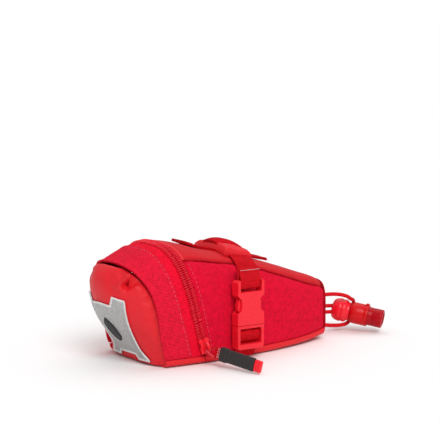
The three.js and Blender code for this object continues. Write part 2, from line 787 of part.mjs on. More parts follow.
function addBuckle(side) {
  const name = side < 0 ? "right" : "left";
  const { back, thick, top } = BUCKLE;
  const front = back + thick;
  add(`${name}_buckle_female`, femaleShell(side), "plastic");
  add(`${name}_buckle_male`, maleBase(side), "plastic");
  add(`${name}_front_arm`, squeezeArm(side, 1), "plastic");
  add(`${name}_rear_arm`, squeezeArm(side, -1), "plastic");
  // The upper webbing's turn around the female's bar.
  const bend = FEMALE_WINDOW[1] - 1.2;
  const turn = [
    [back + 1.3, top + 1.8],
    [back + 1.3, bend + 0.8],
    [back + 1.9, bend],
    [front - 1.9, bend],
    [front - 1.3, bend + 0.8],
    [front - 1.3, top + 1.8],
  ];
  add(`${name}_webbing_turn`, ribbon(turn, 1.2, WEBBING / 2 - 0.2, side), "webbing");
  // The lower webbing climbs behind the male's bar and comes forward through its window.
  const lower = [
    [back - 1.1, 2],
    [back - 1.1, 12],
    [back + 0.6, 14.6],
    [back + 3.2, 18.2],
    [back + 3.8, 22.6],
  ];
  add(`${name}_lower_webbing`, ribbon(lower, 1.2, WEBBING / 2 - 0.2, side), "webbing");
}

// ---------------------------------------------------------------- slider and pull
const BAIL = { half: 1, inner: 4.2, bar: 1, post: 1.2, reach: 4.8, slack: 2.3 };
const SLIDER_CLEAR = 0.7; // outer plate above the coils

function addSlider() {
  const group = new THREE.Group();
  group.position.x = SLIDER.x;
  group.rotation.y = -rad(along(SLIDER.x, "lean"));
  root.add(group);
  const surface = along(SLIDER.x, "half");
  const z = SLIDER.height;
  const plateTop = surface + SLIDER_CLEAR + SLIDER.thick;
  const piece = (halfX, low, high, outLow, outHigh) =>
    block([-halfX, -outHigh, z + low], [halfX, -outLow, z + high]);
  const reach = BAIL.reach;
  const slider = joined(
    piece(SLIDER.wide / 2, -SLIDER.long / 2, SLIDER.long / 2, surface + SLIDER_CLEAR, plateTop),
    piece(0.4, 1, 4.5, surface - 3.4, surface + SLIDER_CLEAR + 0.5),
    piece(3.4, -5, 5, surface - 4.4, surface - 3),
    piece(BAIL.half, -reach, -reach + BAIL.post, plateTop - 0.5, plateTop + BAIL.inner + 0.5),
    piece(BAIL.half, reach - BAIL.post, reach, plateTop - 0.5, plateTop + BAIL.inner + 0.5),
    piece(BAIL.half, -reach, reach, plateTop + BAIL.inner, plateTop + BAIL.inner + BAIL.bar),
  );
  add("slider", slider, "plastic", group);
  const eye = new THREE.Vector3(0, -(plateTop + BAIL.inner / 2), z - BAIL.slack);
  group.updateMatrixWorld(true);
  return eye.applyMatrix4(group.matrixWorld);
}

// The pull hangs out sideways from the slider's bail: local x runs along it, y across.
function addPull(eye) {
  const yaw = rad(PULL.yaw);
  const drop = rad(PULL.drop);
  const run = new THREE.Vector3(
    Math.cos(yaw) * Math.cos(drop),
    Math.sin(yaw) * Math.cos(drop),
    -Math.sin(drop),
  );
  const across = new THREE.Vector3(-Math.sin(yaw), Math.cos(yaw), 0);
  const up = new THREE.Vector3().crossVectors(run, across);
  const group = new THREE.Group();
  group.applyMatrix4(new THREE.Matrix4().makeBasis(run, across, up).setPosition(eye));
  root.add(group);

  // The ring twists between the bail and the webbing, so the pull hangs on edge.
  const [near, far, reach] = [3.4, 4, 7.6];
  const roll = rad(PULL.roll);
  const twisted = (x, y) => {
    const turn = (roll * x) / reach;
    return new THREE.Vector3(x, y * Math.cos(turn), y * Math.sin(turn));
  };
  const corners = [twisted(0, -near), twisted(0, near), twisted(reach, far), twisted(reach, -far)];
  const loop = corners.flatMap((corner, i) => {
    const towards = (other) => corner.clone().lerp(other, 1 / corner.distanceTo(other));
    const [from, to] = [towards(corners[(i + 3) % 4]), towards(corners[(i + 1) % 4])];
    return [from, corner.clone().multiplyScalar(2).add(from).add(to).divideScalar(4), to];
  });
  const reference = new THREE.Vector3(1, 1, 1).normalize();
  add("pull_wire", wireRing(loop, reference, 0.65, 8), "wire", group);
  const strap = new THREE.Group();
  strap.rotation.x = roll;
  group.add(strap);
  group.updateMatrixWorld(true);

  const stretch = (from, to, width, thick) => {
    const options = { depth: to - from, bevelEnabled: false, curveSegments: 3 };
    const profile = roundedRect(width, thick, thick * 0.35);
    const geometry = new THREE.ExtrudeGeometry(profile, options);
    // The profile's x runs across the pull, its y up, and the depth along it.
    return geometry.rotateX(Math.PI / 2).rotateZ(Math.PI / 2).translate(from, 0, 0);
  };
  const [tabStart, collarStart, collarEnd] = [8.6, 11.5, 17.5];
  const tipStart = PULL.long - 5.7;
  add("pull_webbing", stretch(tabStart, collarStart - GAP, 8, 2.4), "webbing", strap);
  const sleeve = joined(
    stretch(collarStart, collarEnd, PULL.wide + 1, PULL.thick + 0.9),
    stretch(collarEnd - 1, tipStart - GAP, PULL.wide, PULL.thick),
  );
  add("pull_sleeve", sleeve, "rubber", strap);
  add("pull_tip", stretch(tipStart, PULL.long, PULL.wide - 1, PULL.thick - 0.2), "plastic", strap);
}

// ---------------------------------------------------------------- elastic cords and toggle
function curveThrough(route, rise = 0) {
  return new THREE.CatmullRomCurve3(route.map(([x, y, z]) => new THREE.Vector3(x, y, z + rise)));
}

// A turned piece along local x from [radius, x] points.
function turned(profile, sides = 28) {
  const points = profile.map(([r, x]) => new THREE.Vector2(r, x));
  return new THREE.LatheGeometry(points, sides).rotateZ(-Math.PI / 2);
}

// The hole that a strand enters the head by.
function strandHole(rise) {
  const last = STRAND_ROUTE.length - 1;
  const [from, to] = [STRAND_ROUTE[last - 1], STRAND_ROUTE[last]].map(
    ([x, y, z]) => new THREE.Vector3(x, y, z + rise),
  );
  const way = to.clone().sub(from).normalize();
  const length = 14;
  const radius = CORD / 2 + CORD_CLEAR;
  const hole = new THREE.CylinderGeometry(radius, radius, length, 12);
  const turn = new THREE.Quaternion().setFromUnitVectors(new THREE.Vector3(0, 1, 0), way);
  const middle = to.clone().addScaledVector(way, 0.8 - length / 2);
  return hole.applyQuaternion(turn).translate(...middle.toArray());
}

class Helix extends THREE.Curve {
  constructor(radius, from, to, turns) {
    super();
    Object.assign(this, { radius, from, to, turns });
  }

  getPoint(t, target = new THREE.Vector3()) {
    const a = 2 * Math.PI * this.turns * t;
    const x = mix(this.from, this.to, t);
    return target.set(x, this.radius * Math.cos(a), this.radius * Math.sin(a));
  }
}

function addToggle() {
  const { centre, axis, headRadius, neckRadius, barrelRadius, boreRadius, barrelEnd } = TOGGLE;
  const { plungerRadius, plungerEnd } = TOGGLE;
  const sideways = new THREE.Vector3(-axis.y, axis.x, 0).normalize();
  const up = new THREE.Vector3().crossVectors(axis, sideways);
  const frame = new THREE.Matrix4().makeBasis(axis, sideways, up).setPosition(centre);
  const group = new THREE.Group();
  group.applyMatrix4(frame);
  root.add(group);

  const head = turned([
    [0, -7],
    [5.5, -7],
    [7.8, -5.2],
    [headRadius, -1.8],
    [headRadius, 1.2],
    [8.2, 4.2],
    [neckRadius, 5.8],
    [neckRadius, 7.6],
    [0, 7.6],
  ]).applyMatrix4(frame);
  const holes = Object.values(STRAND_HEIGHTS).map(strandHole);
  add("toggle_head", cut(head, ...holes), "plastic");

  const floor = 10;
  const barrel = turned([
    [0, 7.9],
    [7.2, 7.9],
    [barrelRadius, 9.6],
    [barrelRadius, barrelEnd],
    [boreRadius, barrelEnd],
    [boreRadius, floor],
    [0, floor],
  ]);
  const lug = block([barrelEnd - 3, -1.6, barrelRadius - 0.5], [barrelEnd, 1.6, barrelRadius + 1.1]);
  add("toggle_barrel", joined(barrel, lug), "clearPlastic", group);

  const plunger = turned([
    [0, 21],
    [5.6, 21],
    [5.6, 17.5],
    [plungerRadius, 17.5],
    [plungerRadius, plungerEnd - 1.4],
    [plungerRadius - 0.9, plungerEnd],
    [4.9, plungerEnd],
    [4.6, plungerEnd - 1.4],
    [0, plungerEnd - 1.4],
  ]);
  add("toggle_plunger", plunger, "darkPlastic", group);
  const spring = tube(new Helix(4.4, floor + 0.8, 20.2, 4), 0.4, 6, 44);
  add("toggle_spring", spring, "steel", group);

  add("seatpost_loop", tube(curveThrough(LOOP_ROUTE), CORD / 2, 8, 34), "cord");
  for (const [name, rise] of Object.entries(STRAND_HEIGHTS)) {
    add(`${name}_strand`, tube(curveThrough(STRAND_ROUTE, rise), CORD / 2, 8, 8), "cord");
  }
  const knots = {
    upper_loop_knot: [LOOP_ROUTE[0][1], LOOP_ROUTE[0][2], 2.6],
    lower_loop_knot: [LOOP_ROUTE.at(-1)[1], LOOP_ROUTE.at(-1)[2], 2.6],
    strand_knot: [STRAND_ROUTE[0][1], 17, 3.2],
  };
  for (const [name, [y, z, radius]] of Object.entries(knots)) {
    const x = PLATE_X - GAP - radius;
    add(name, new THREE.SphereGeometry(radius, 12, 8).translate(x, y, z), "cord");
  }
}

addBodyPanels();
addBodyZip();
addLid();
addTopStraps();
[-1, 1].forEach(addBuckle);
addPull(addSlider());
addToggle();

export default root;
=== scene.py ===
"""Looks of a bicycle saddle bag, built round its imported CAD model.

Shapes are worked out in millimetres and become metres when a mesh is made. +X points to the
narrow nose, -Y to the side with the zip pull, +Z up.
"""
import math

import bmesh
import bpy
import numpy as np
from mathutils import Matrix, Vector, noise
from mathutils.bvhtree import BVHTree


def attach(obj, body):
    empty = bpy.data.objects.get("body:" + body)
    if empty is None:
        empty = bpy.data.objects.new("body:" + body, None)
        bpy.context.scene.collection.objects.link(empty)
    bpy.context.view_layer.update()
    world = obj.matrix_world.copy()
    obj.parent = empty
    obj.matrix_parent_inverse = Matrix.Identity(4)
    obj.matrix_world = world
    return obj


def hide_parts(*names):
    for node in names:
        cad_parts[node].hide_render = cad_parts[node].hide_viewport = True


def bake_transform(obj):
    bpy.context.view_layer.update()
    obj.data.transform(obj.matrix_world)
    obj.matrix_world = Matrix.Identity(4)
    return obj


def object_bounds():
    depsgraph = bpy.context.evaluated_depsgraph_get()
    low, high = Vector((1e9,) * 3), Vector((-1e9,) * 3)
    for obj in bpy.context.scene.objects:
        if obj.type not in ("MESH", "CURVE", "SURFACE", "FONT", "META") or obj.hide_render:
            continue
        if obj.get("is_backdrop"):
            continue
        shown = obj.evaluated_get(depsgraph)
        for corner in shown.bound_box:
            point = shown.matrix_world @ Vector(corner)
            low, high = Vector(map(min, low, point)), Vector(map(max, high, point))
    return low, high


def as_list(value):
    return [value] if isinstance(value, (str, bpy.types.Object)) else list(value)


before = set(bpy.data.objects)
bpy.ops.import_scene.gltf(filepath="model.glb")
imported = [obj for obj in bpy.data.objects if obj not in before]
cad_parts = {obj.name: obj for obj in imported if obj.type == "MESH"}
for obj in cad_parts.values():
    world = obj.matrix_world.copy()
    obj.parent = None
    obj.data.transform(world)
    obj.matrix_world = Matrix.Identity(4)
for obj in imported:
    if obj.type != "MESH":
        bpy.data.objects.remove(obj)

MM = 0.001
cad_low, cad_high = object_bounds()
scene = bpy.context.scene

# ---- driving dimensions
GAP = 0.3
SHEET = 2.0  # thickness of a panel
CLOTH = 1.6  # thickness of a panel's modelled cloth
REAR_X = -59
NOSE_X = 98
MIDDLE = (0.0, 0.0, 30.0)  # a point inside the bag
SIDES = ((-1, "right"), (1, "left"))
WRAP = 6  # height of the bottom panel's turned-up edge
CORNER = 5  # radius of the bottom corners
WIDEST = 0.36  # share of the height where the side stops being straight
STRAIGHT = 0.25  # share of the rim parameter spent on the straight side
EDGE = 0.006  # half gap between panels, as a share of the rim
STATION_KEYS = ("x", "lean", "height", "half", "square", "seam", "rise")
STATIONS = [
    dict(zip(STATION_KEYS, row))
    for row in (
        (-62, 17, 75.3, 38.5, 3.0, 48, 0),
        (-42, 15.5, 83.6, 40, 2.9, 48, 0),
        (-26, 14.5, 87.4, 40.8, 2.9, 48, 0),
        (-12, 12.5, 84.3, 40.2, 3.0, 49.5, 0),
        (0, 11, 79.2, 39, 3.1, 52.8, 0),
        (25, 7.5, 71.1, 36.3, 3.3, 55, 0),
        (50, 4.5, 63, 32.5, 3.7, 44.8, 0.3),
        (75, 2, 52.3, 26.5, 4.0, 40.6, 1),
        (98, 0, 41.5, 18.8, 4.2, 41, 3),
    )
]
FRONT_SEAM_X = -22.5
SIDE_EDGE_X = -23.6
BODY_FRONT_X = NOSE_X - SHEET - GAP
BODY_COIL_X = (-27.4, -24.2)
LID_COIL_X = (-31, -27.8)
LID_TAPE_X = (-42, -31.3)
BODY_STRIP_X = (-27.2, -22.8)
LID_STRIP_X = (-31.6, -28.0)
BINDING_X = (-24.0, -21.8)
BAND_FRONT_X = -38.6
BAND_LIFT = 0.15
HINGE_X = -28.5
COIL_LIFT = 0.5
TOOTH_PITCH = 1.6
BOW = 5  # how far the rear seam bows forwards between its foot and its crest
BOW_FADE = (REAR_X, -36)  # the bow is whole at the first x and gone at the second

REAR_EDGE_X = REAR_X - GAP
LEVEL_BELOW = 15  # below this height the rear bulges straight back
SEAM_DEPTH = 2.2  # how far the edge of the rear panel is tucked in under the band
# The hooked ridge of the fold at an upper corner, and the crease under it, as (|y|, height).
PLEAT = ((29.5, 71.6), (26.3, 70.8), (24.0, 69.9), (21.9, 68.6), (20.5, 66.6))
PLEAT += ((20.2, 64.4), (21.2, 63.0))
CREASE = ((23.6, 65.0), (30.0, 69.0))

# Heights of the rear patch, and the shares of its half breadth where its horns begin and peak.
PATCH_FOOT = 4.3
PATCH_NOTCH = 8.8
PATCH_DIP = 52.2
HORN_TIP = 58.8
HORN_EDGE = 55.2
HORN_START = 0.53
HORN_PEAK = 0.66

WEBBING = 18
STRAP_X = 4.5
STRAP_TOP_X = 24
STRAP_END_X = 20
STRAP_HALF_U = 0.5
DROP_U = 0.40  # where the strap over the top ends and the drops begin
TACK_HEIGHT = 64.4  # the bar tack of a drop is just below this
STRIP_X = (-8, 53)
PAD_HALF_U = 0.17
PAD_LONG = 20
PAD_BASE = 1.3
KEEPER_X = (15, 34)
BUCKLE_BACK = 41.7
BUCKLE_THICK = 7.6

SLIDER_X = -27.6
SLIDER_HEIGHT = 14
PULL_EYE = Vector((-30.56, -45.58, 11.31))
PULL_YAW = math.radians(-72)
PULL_DROP = math.radians(8)
PULL_ROLL = math.radians(80)
PULL_LONG = 47
PULL_WIDE = 9.5
PULL_THICK = 3.6
RING = (3.4, 4.0, 7.6)  # the wire ring's half breadths at its two ends, and its length

CORD = 3
TOGGLE_CENTRE = Vector((127.6, 0, 16))
TOGGLE_AXIS = Vector((0.62, -0.76, -0.17)).normalized()

# The routes of the elastic cords, the same as the CAD's.
LOOP_ROUTE = [
    (92.5, 5, 27), (99, 5, 27), (104.5, 2.5, 28.2), (110.5, -1.5, 30),
    (118.5, -5.8, 30.2), (126, -8, 28.4), (131, -7.6, 25.6), (135.6, -5, 23.7),
    (138.9, -1.7, 20), (139.4, 0.6, 14.8), (138.2, 0.4, 9.8), (134.4, -1.6, 6.2),
    (128.6, -3.2, 4.8), (120.5, -1.5, 4.5), (111.5, 1.8, 5.6), (104.5, 4.4, 8.4),
    (99, 5, 9.6), (92.5, 5, 9.6),
]
STRAND_ROUTE = [
    (92.5, 5, 0), (99, 5, 0), (105, 4.6, 0), (112, 4, -0.2),
    (119, 2.9, -0.5), (126.2, 1, -0.9),
]
STRAND_HEIGHTS = {"upper": 20.2, "lower": 15.3}

UV_SPAN = 400.0  # millimetres of cloth that one unit of the UV map stands for
SIM_SCALE = 10  # cloth is settled at ten times its size, where the solver works well
SIM_FRAMES = 20
FLOOR_HALF = 40.0  # metres, so that the floor's far edge is out of sight
AMBIENT = 0.5
BACKDROP = 1.05


# ---- camera
def add_camera():
    """The photograph's viewing angle: the target lands right of and below the frame's middle."""
    azimuth, elevation, distance = math.radians(-34.3), math.radians(10.5), 1200
    target = Vector((-3.4, 4, 35))
    frame_width = 326  # width of the view at the target
    level = math.cos(elevation)
    back = Vector((math.sin(azimuth) * level, -math.cos(azimuth) * level, math.sin(elevation)))
    data = bpy.data.cameras.new("camera")
    data.sensor_width = 36
    data.lens = data.sensor_width * distance / frame_width
    data.shift_x = 0.0447
    data.shift_y = 0.187
    data.dof.use_dof = False
    data.clip_start = 0.05
    data.clip_end = 20
    camera = bpy.data.objects.new("camera", data)
    camera.location = (target + back * distance) * MM
    camera.rotation_mode = "QUATERNION"
    camera.rotation_quaternion = (-back).to_track_quat("-Z", "Y")
    scene.collection.objects.link(camera)
    scene.camera = camera


# ---- materials
class Graph:
    """A material under construction, with short calls for its nodes."""

    def __init__(self, name, color, roughness, **settings):
        self.material = bpy.data.materials.new(name)
        self.material.use_nodes = True
        self.material.diffuse_color = (*color, 1)
        self.tree = self.material.node_tree
        self.shader = self.tree.nodes["Principled BSDF"]
        self.set(self.shader, "Base Color", (*color, 1))
        self.roughness(roughness)
        for key, value in settings.items():
            self.set(self.shader, key.replace("_", " "), value)

    def set(self, node, key, value):
        socket = node.inputs[key]
        if isinstance(value, bpy.types.NodeSocket):
            self.tree.links.new(value, socket)
        else:
            socket.default_value = value

    def node(self, kind, **inputs):
        made = self.tree.nodes.new(kind)
        for key, value in inputs.items():
            self.set(made, key.replace("_", " "), value)
        return made.outputs[0]

    def math(self, operation, *values):
        made = self.tree.nodes.new("ShaderNodeMath")
        made.operation = operation
        for i, value in enumerate(values):
            self.set(made, i, value)
        return made.outputs[0]

    def add(self, a, b):
        return self.math("ADD", a, b)

    def times(self, a, b):
        return self.math("MULTIPLY", a, b)

    def coordinates(self, kind):
        return self.tree.nodes.new("ShaderNodeTexCoord").outputs[kind]

    def noise(self, scale, detail=3):
        vector = self.coordinates("Object")
        return self.node("ShaderNodeTexNoise", Vector=vector, Scale=scale, Detail=detail)

    def ramp(self, value, low, high):
        """value 0..1 spread between two numbers."""
        return self.node("ShaderNodeMapRange", Value=value, To_Min=low, To_Max=high)

    def mix(self, factor, dark, light):
        made = self.tree.nodes.new("ShaderNodeMix")
        made.data_type = "RGBA"
        self.set(made, 0, factor)
        self.set(made, 6, (*dark, 1) if isinstance(dark, tuple) else dark)
        self.set(made, 7, (*light, 1) if isinstance(light, tuple) else light)
        return made.outputs[2]

    def colour(self, socket):
        self.set(self.shader, "Base Color", socket)

    def roughness(self, value):
        self.set(self.shader, "Roughness", value)

    def specular(self, level):
        self.set(self.shader, "Specular IOR Level", level)

    def bump(self, height, distance):
        """Bump of a height 0..1 that stands distance mm deep."""
        made = self.node("ShaderNodeBump", Strength=1.0, Distance=distance * MM, Height=height)
        self.set(self.shader, "Normal", made)

    def cloth_uv(self, angle):
        """The two cloth coordinates in millimetres, turned by an angle in degrees."""
        split = self.tree.nodes.new("ShaderNodeSeparateXYZ")
        self.set(split, 0, self.coordinates("UV"))
        u = self.times(split.outputs[0], UV_SPAN)
        v = self.times(split.outputs[1], UV_SPAN)
        c, s = math.cos(math.radians(angle)), math.sin(math.radians(angle))
        first = self.add(self.times(u, c), self.times(v, s))
        second = self.math("SUBTRACT", self.times(v, c), self.times(u, s))
        return first, second

    def weave(self, pitch_a, pitch_b, angle):
        """Height of a plain weave: threads that go over and under each other."""
        a, b = self.cloth_uv(angle)
        wave_a = self.math("SINE", self.times(a, math.pi / pitch_a))
        wave_b = self.math("SINE", self.times(b, math.pi / pitch_b))
        on_top = self.math("GREATER_THAN", self.times(wave_a, wave_b), 0.0)
        warp = self.times(on_top, self.math("ABSOLUTE", wave_a))
        weft = self.times(self.math("SUBTRACT", 1.0, on_top), self.math("ABSOLUTE", wave_b))
        return self.add(warp, weft)


def shade(color, factor):
    return tuple(c * factor for c in color)


def woven(name, color, pitch, angle, depth, contrast):
    """Woven nylon: threads, mottling and a soft sheen."""
    g = Graph(name, color, 0.8)
    g.specular(0.08)
    threads = g.weave(*pitch, angle)
    mottle = g.noise(620, 4)
    fibres = g.noise(2600, 2)
    base = g.mix(threads, shade(color, 1 - contrast), shade(color, 1.08))
    # Darker and lighter blotches at random places over the cloth, from noise.
    blotches = g.add(g.times(mottle, 0.55), g.times(g.noise(330, 2), 0.45))
    blotched_tone = g.mix(g.ramp(blotches, -1.2, 2.2), shade(color, 0.60), shade(color, 1.12))
    g.colour(g.mix(0.6, base, blotched_tone))
    g.roughness(g.ramp(mottle, 0.7, 0.92))
    g.bump(g.add(threads, g.times(fibres, 0.4)), depth)
    return g.material


def coated(name, color, roughness, gloss):
    """Coated fabric: nearly smooth, with a fine leathery grain and uneven gloss."""
    g = Graph(name, color, roughness)
    g.specular(gloss)
    grain = g.noise(1900)
    patches = g.noise(70)
    g.colour(g.mix(g.ramp(patches, -0.1, 1.1), shade(color, 0.9), shade(color, 1.05)))
    g.roughness(g.ramp(g.add(patches, grain), roughness - 0.1, roughness + 0.1))
    g.bump(g.add(grain, g.times(patches, 2.0)), 0.05)
    return g.material


def moulded(name, color, roughness, gloss=0.36, **settings):
    """Moulded plastic: faint flow marks in the gloss and a barely uneven surface."""
    g = Graph(name, color, roughness, **settings)
    g.specular(gloss)
    flow = g.noise(160)
    grain = g.noise(3600, 2)
    g.colour(g.mix(flow, shade(color, 0.94), shade(color, 1.03)))
    g.roughness(g.ramp(g.times(flow, grain), roughness - 0.06, roughness + 0.14))
    g.bump(g.add(flow, grain), 0.03)
    return g.material


def reflective(name, color):
    """Grey retroreflective film: tiny glass beads in a faint diamond lattice."""
    g = Graph(name, color, 0.5, Metallic=0.25)
    beads = g.node("ShaderNodeTexVoronoi", Vector=g.coordinates("Object"), Scale=1500.0)
    lines = [g.math("ABSOLUTE", g.math("SINE", g.times(c, math.pi / 2.4))) for c in g.cloth_uv(45)]
    lattice = g.math("LESS_THAN", g.math("MINIMUM", *lines), 0.14)
    speckle = g.times(beads, g.noise(700, 4))
    g.colour(g.mix(g.ramp(speckle, 0.1, 1.6), shade(color, 0.62), shade(color, 1.5)))
    g.roughness(g.ramp(beads, 0.34, 0.62))
    g.bump(g.add(beads, g.times(lattice, -0.5)), 0.06)
    return g.material


def braided(name, color):
    """Braided sleeve of an elastic cord: crossing diagonal yarns round the tube."""
    g = Graph(name, color, 0.7)
    g.specular(0.15)
    threads = g.weave(0.75, 0.75, 38)
    g.colour(g.mix(threads, shade(color, 0.6), shade(color, 1.1)))
    g.roughness(g.ramp(g.noise(900), 0.6, 0.85))
    g.bump(threads, 0.16)
    return g.material


def rubbery(name, color):
    """Matte moulded rubber with a fine sandy texture."""
    g = Graph(name, color, 0.62)
    grain = g.noise(2400, 4)
    scuff = g.noise(130, 5)
    g.colour(g.mix(g.ramp(scuff, 0, 1), shade(color, 0.8), shade(color, 1.45)))
    g.roughness(g.ramp(scuff, 0.5, 0.78))
    g.bump(g.add(grain, g.times(scuff, 0.5)), 0.07)
    return g.material


def metal(name, color, roughness, metallic=1.0):
    g = Graph(name, color, roughness, Metallic=metallic)
    drawn = g.noise(800, 4)
    g.roughness(g.ramp(drawn, roughness - 0.08, roughness + 0.12))
    g.bump(drawn, 0.02)
    return g.material


def make_materials():
    return {
        "woven": woven("woven_red", (0.80, 0.004, 0.034), (1.2, 1.0), 40, 0.16, 0.34),
        "ballistic": woven("ballistic_red", (0.82, 0.010, 0.040), (2.0, 1.2), 38, 0.2, 0.4),
        "tape": woven("zip_tape_red", (0.88, 0.004, 0.030), (0.8, 0.55), 0, 0.08, 0.15),
        "webbing": woven("webbing_red", (0.66, 0.004, 0.012), (1.7, 0.85), 0, 0.22, 0.42),
        "binding": woven("binding_red", (0.5, 0.006, 0.014), (0.7, 0.9), 0, 0.1, 0.3),
        "coated": coated("coated_red", (0.74, 0.010, 0.020), 0.42, 0.3),
        "coated_top": coated("coated_top_red", (0.60, 0.006, 0.014), 0.5, 0.2),
        "plastic": moulded("buckle_red", (0.86, 0.010, 0.026), 0.3),
        "coil": moulded("zip_coil_red", (0.78, 0.004, 0.026), 0.42),
        "clear": moulded(
            "clear_red", (0.66, 0.004, 0.008), 0.3, 0.2, Transmission_Weight=0.1, IOR=1.46
        ),
        "dark": moulded("plunger_red", (0.42, 0.002, 0.008), 0.3, 0.15),
        "film": reflective("reflective_grey", (0.40, 0.40, 0.395)),
        "white": woven("white_binding", (0.80, 0.80, 0.79), (0.6, 0.6), 0, 0.06, 0.12),
        "thread": woven("red_thread", (0.80, 0.10, 0.14), (0.3, 0.3), 30, 0.04, 0.3),
        "pale_thread": woven("pale_thread", (0.62, 0.4, 0.4), (0.3, 0.3), 30, 0.04, 0.3),
        "grey_thread": woven("grey_thread", (0.5, 0.5, 0.5), (0.3, 0.3), 30, 0.04, 0.3),
        "rubber": rubbery("grey_rubber", (0.016, 0.015, 0.0155)),
        "badge": rubbery("badge_rubber", (0.016, 0.017, 0.018)),
        "board": rubbery("board", (0.02, 0.02, 0.022)),
        "cord": braided("elastic_cord_red", (0.80, 0.006, 0.016)),
        "wire": metal("enamelled_wire", (0.62, 0.02, 0.04), 0.35, 0.2),
        "steel": metal("steel", (0.55, 0.56, 0.58), 0.28),
    }


# ---- the bag's outer form
def mix(a, b, t):
    return a + (b - a) * t


def smooth_step(t):
    t = min(max(t, 0.0), 1.0)
    return t * t * (3 - 2 * t)


def hump(distance, width):
    """A rounded peak: 1 at no distance, falling off over about a width."""
    return math.exp(-((distance / width) ** 2))


def along(x, key):
    """A value of the stations at x, on a smooth curve through them."""
    last = len(STATIONS) - 1
    i = 0
    while i < last - 1 and x > STATIONS[i + 1]["x"]:
        i += 1

    def slope(k):
        a, b = STATIONS[max(k - 1, 0)], STATIONS[min(k + 1, last)]
        return (b[key] - a[key]) / (b["x"] - a["x"])

    p, q = STATIONS[i], STATIONS[i + 1]
    span = q["x"] - p["x"]
    t = min(max((x - p["x"]) / span, 0.0), 1.0)
    t2, t3 = t * t, t * t * t
    return (
        (2 * t3 - 3 * t2 + 1) * p[key]
        + (t3 - 2 * t2 + t) * span * slope(i)
        + (3 * t2 - 2 * t3) * q[key]
        + (t3 - t2) * span * slope(i + 1)
    )


def half_outline(x, v):
    """Half outline of the section at x: v = 0 at the wrapped edge, 1 at the crest."""
    height, half, power = along(x, "height"), along(x, "half"), 2 / along(x, "square")
    widest = WIDEST * height
    if v <= STRAIGHT:
        return half, WRAP + (widest - WRAP) * v / STRAIGHT
    angle = math.pi / 2 * (v - STRAIGHT) / (1 - STRAIGHT)
    y = half * max(math.cos(angle), 0.0) ** power
    return y, widest + (height - widest) * math.sin(angle) ** power


def bow(x, up):
    fade = 1 - smooth_step((x - BOW_FADE[0]) / (BOW_FADE[1] - BOW_FADE[0]))
    return BOW * fade * math.sin(math.pi * min(max(up, 0), 1) ** 2)


def lean(x, y, h, side=1):
    angle = math.radians(along(x, "lean"))
    rise = max(along(x, "rise"), 0)
    forward = bow(x, h / along(x, "height")) - h * math.sin(angle)
    return Vector((x + forward, side * y, rise + h * math.cos(angle)))


def rim(x, v, side, inset=0.0):
    """A point of the outline at x, moved inwards by inset."""
    step = 0.002
    y0, h0 = half_outline(x, max(v - step, 0))
    y1, h1 = half_outline(x, min(v + step, 1))
    y, h = half_outline(x, v)
    length = math.hypot(y1 - y0, h1 - h0)
    crest = v > 1 - step
    in_y = 0 if crest else -(h1 - h0) / length
    in_h = -1 if crest else (y1 - y0) / length
    return lean(x, y + inset * in_y, h + inset * in_h, side)


def over(x, u, lift=0.0):
    """A point of the outline at x, with u = -1 at the right edge, 0 at the crest, 1 at the left."""
    return rim(x, 1 - abs(u), -1 if u < 0 else 1, -lift)


def seam_at(x):
    return STRAIGHT + (1 - STRAIGHT) * along(x, "seam") / 90


def sag(point, amount=0.7):
    """Slow unevenness of a soft shell, the same for every piece that lies at that place."""
    return amount * noise.noise(Vector(point) * 0.035 + Vector((7.3, 2.1, 4.4)))


# ---- mesh helpers
def mesh_of(name, points, faces, material, uvs, sharp=45):
    """A mesh object from points in millimetres, its closed surface turned to face out and its
    edges sharp where two faces meet at more than an angle in degrees."""
    mesh = bpy.data.meshes.new(name)
    mesh.from_pydata([tuple(c * MM for c in p) for p in points], [], faces)
    layer = mesh.uv_layers.new(name="cloth")
    for loop in mesh.loops:
        u, v = uvs[loop.vertex_index]
        layer.data[loop.index].uv = (u / UV_SPAN, v / UV_SPAN)
    work = bmesh.new()
    work.from_mesh(mesh)
    bmesh.ops.recalc_face_normals(work, faces=work.faces)
    work.to_mesh(mesh)
    work.free()
    obj = bpy.data.objects.new(name, mesh)
    scene.collection.objects.link(obj)
    mesh.materials.append(material)
    mesh.polygons.foreach_set("use_smooth", [True] * len(mesh.polygons))
    mesh.set_sharp_from_angle(angle=math.radians(sharp))
    return obj


def grid_faces(rows, columns, first=0):
    faces = []
    for i in range(rows - 1):
        for j in range(columns - 1):
            a = first + i * columns + j
            faces.append((a, a + 1, a + columns + 1, a + columns))
    return faces


def border_of(rows, columns):
    """The outermost points of a grid, once round."""
    border = list(range(columns))
    border += [i * columns + columns - 1 for i in range(1, rows)]
    border += [(rows - 1) * columns + j for j in range(columns - 2, -1, -1)]
    return border + [i * columns for i in range(rows - 2, 0, -1)]


def sheet_faces(rows, columns):
    """Faces of a sheet with a thickness: its outer grid, its inner grid and its edge."""
    count = rows * columns
    faces = grid_faces(rows, columns) + [f[::-1] for f in grid_faces(rows, columns, count)]
    border = border_of(rows, columns)
    for a, b in zip(border, border[1:] + border[:1]):
        faces.append((b, a, a + count, b + count))
    return faces


def ring_faces(rings, sides, first=0, closed=False):
    """Faces from ring to ring of points. A closed run comes round to its first ring, and an
    open one gets an end face on each end."""
    faces = []
    for i in range(rings if closed else rings - 1):
        a, b = first + i * sides, first + (i + 1) % rings * sides
        for k in range(sides):
            n = (k + 1) % sides
            faces.append((a + k, a + n, b + n, b + k))
    if not closed:
        last = first + (rings - 1) * sides
        faces.append(tuple(range(first, first + sides))[::-1])
        faces.append(tuple(range(last, last + sides)))
    return faces


def ring_of(middle, out, side, size, sides):
    """Points on a circle round middle, with out and side as its two directions."""
    angles = [2 * math.pi * k / sides for k in range(sides)]
    return [middle + out * math.cos(a) * size + side * math.sin(a) * size for a in angles]


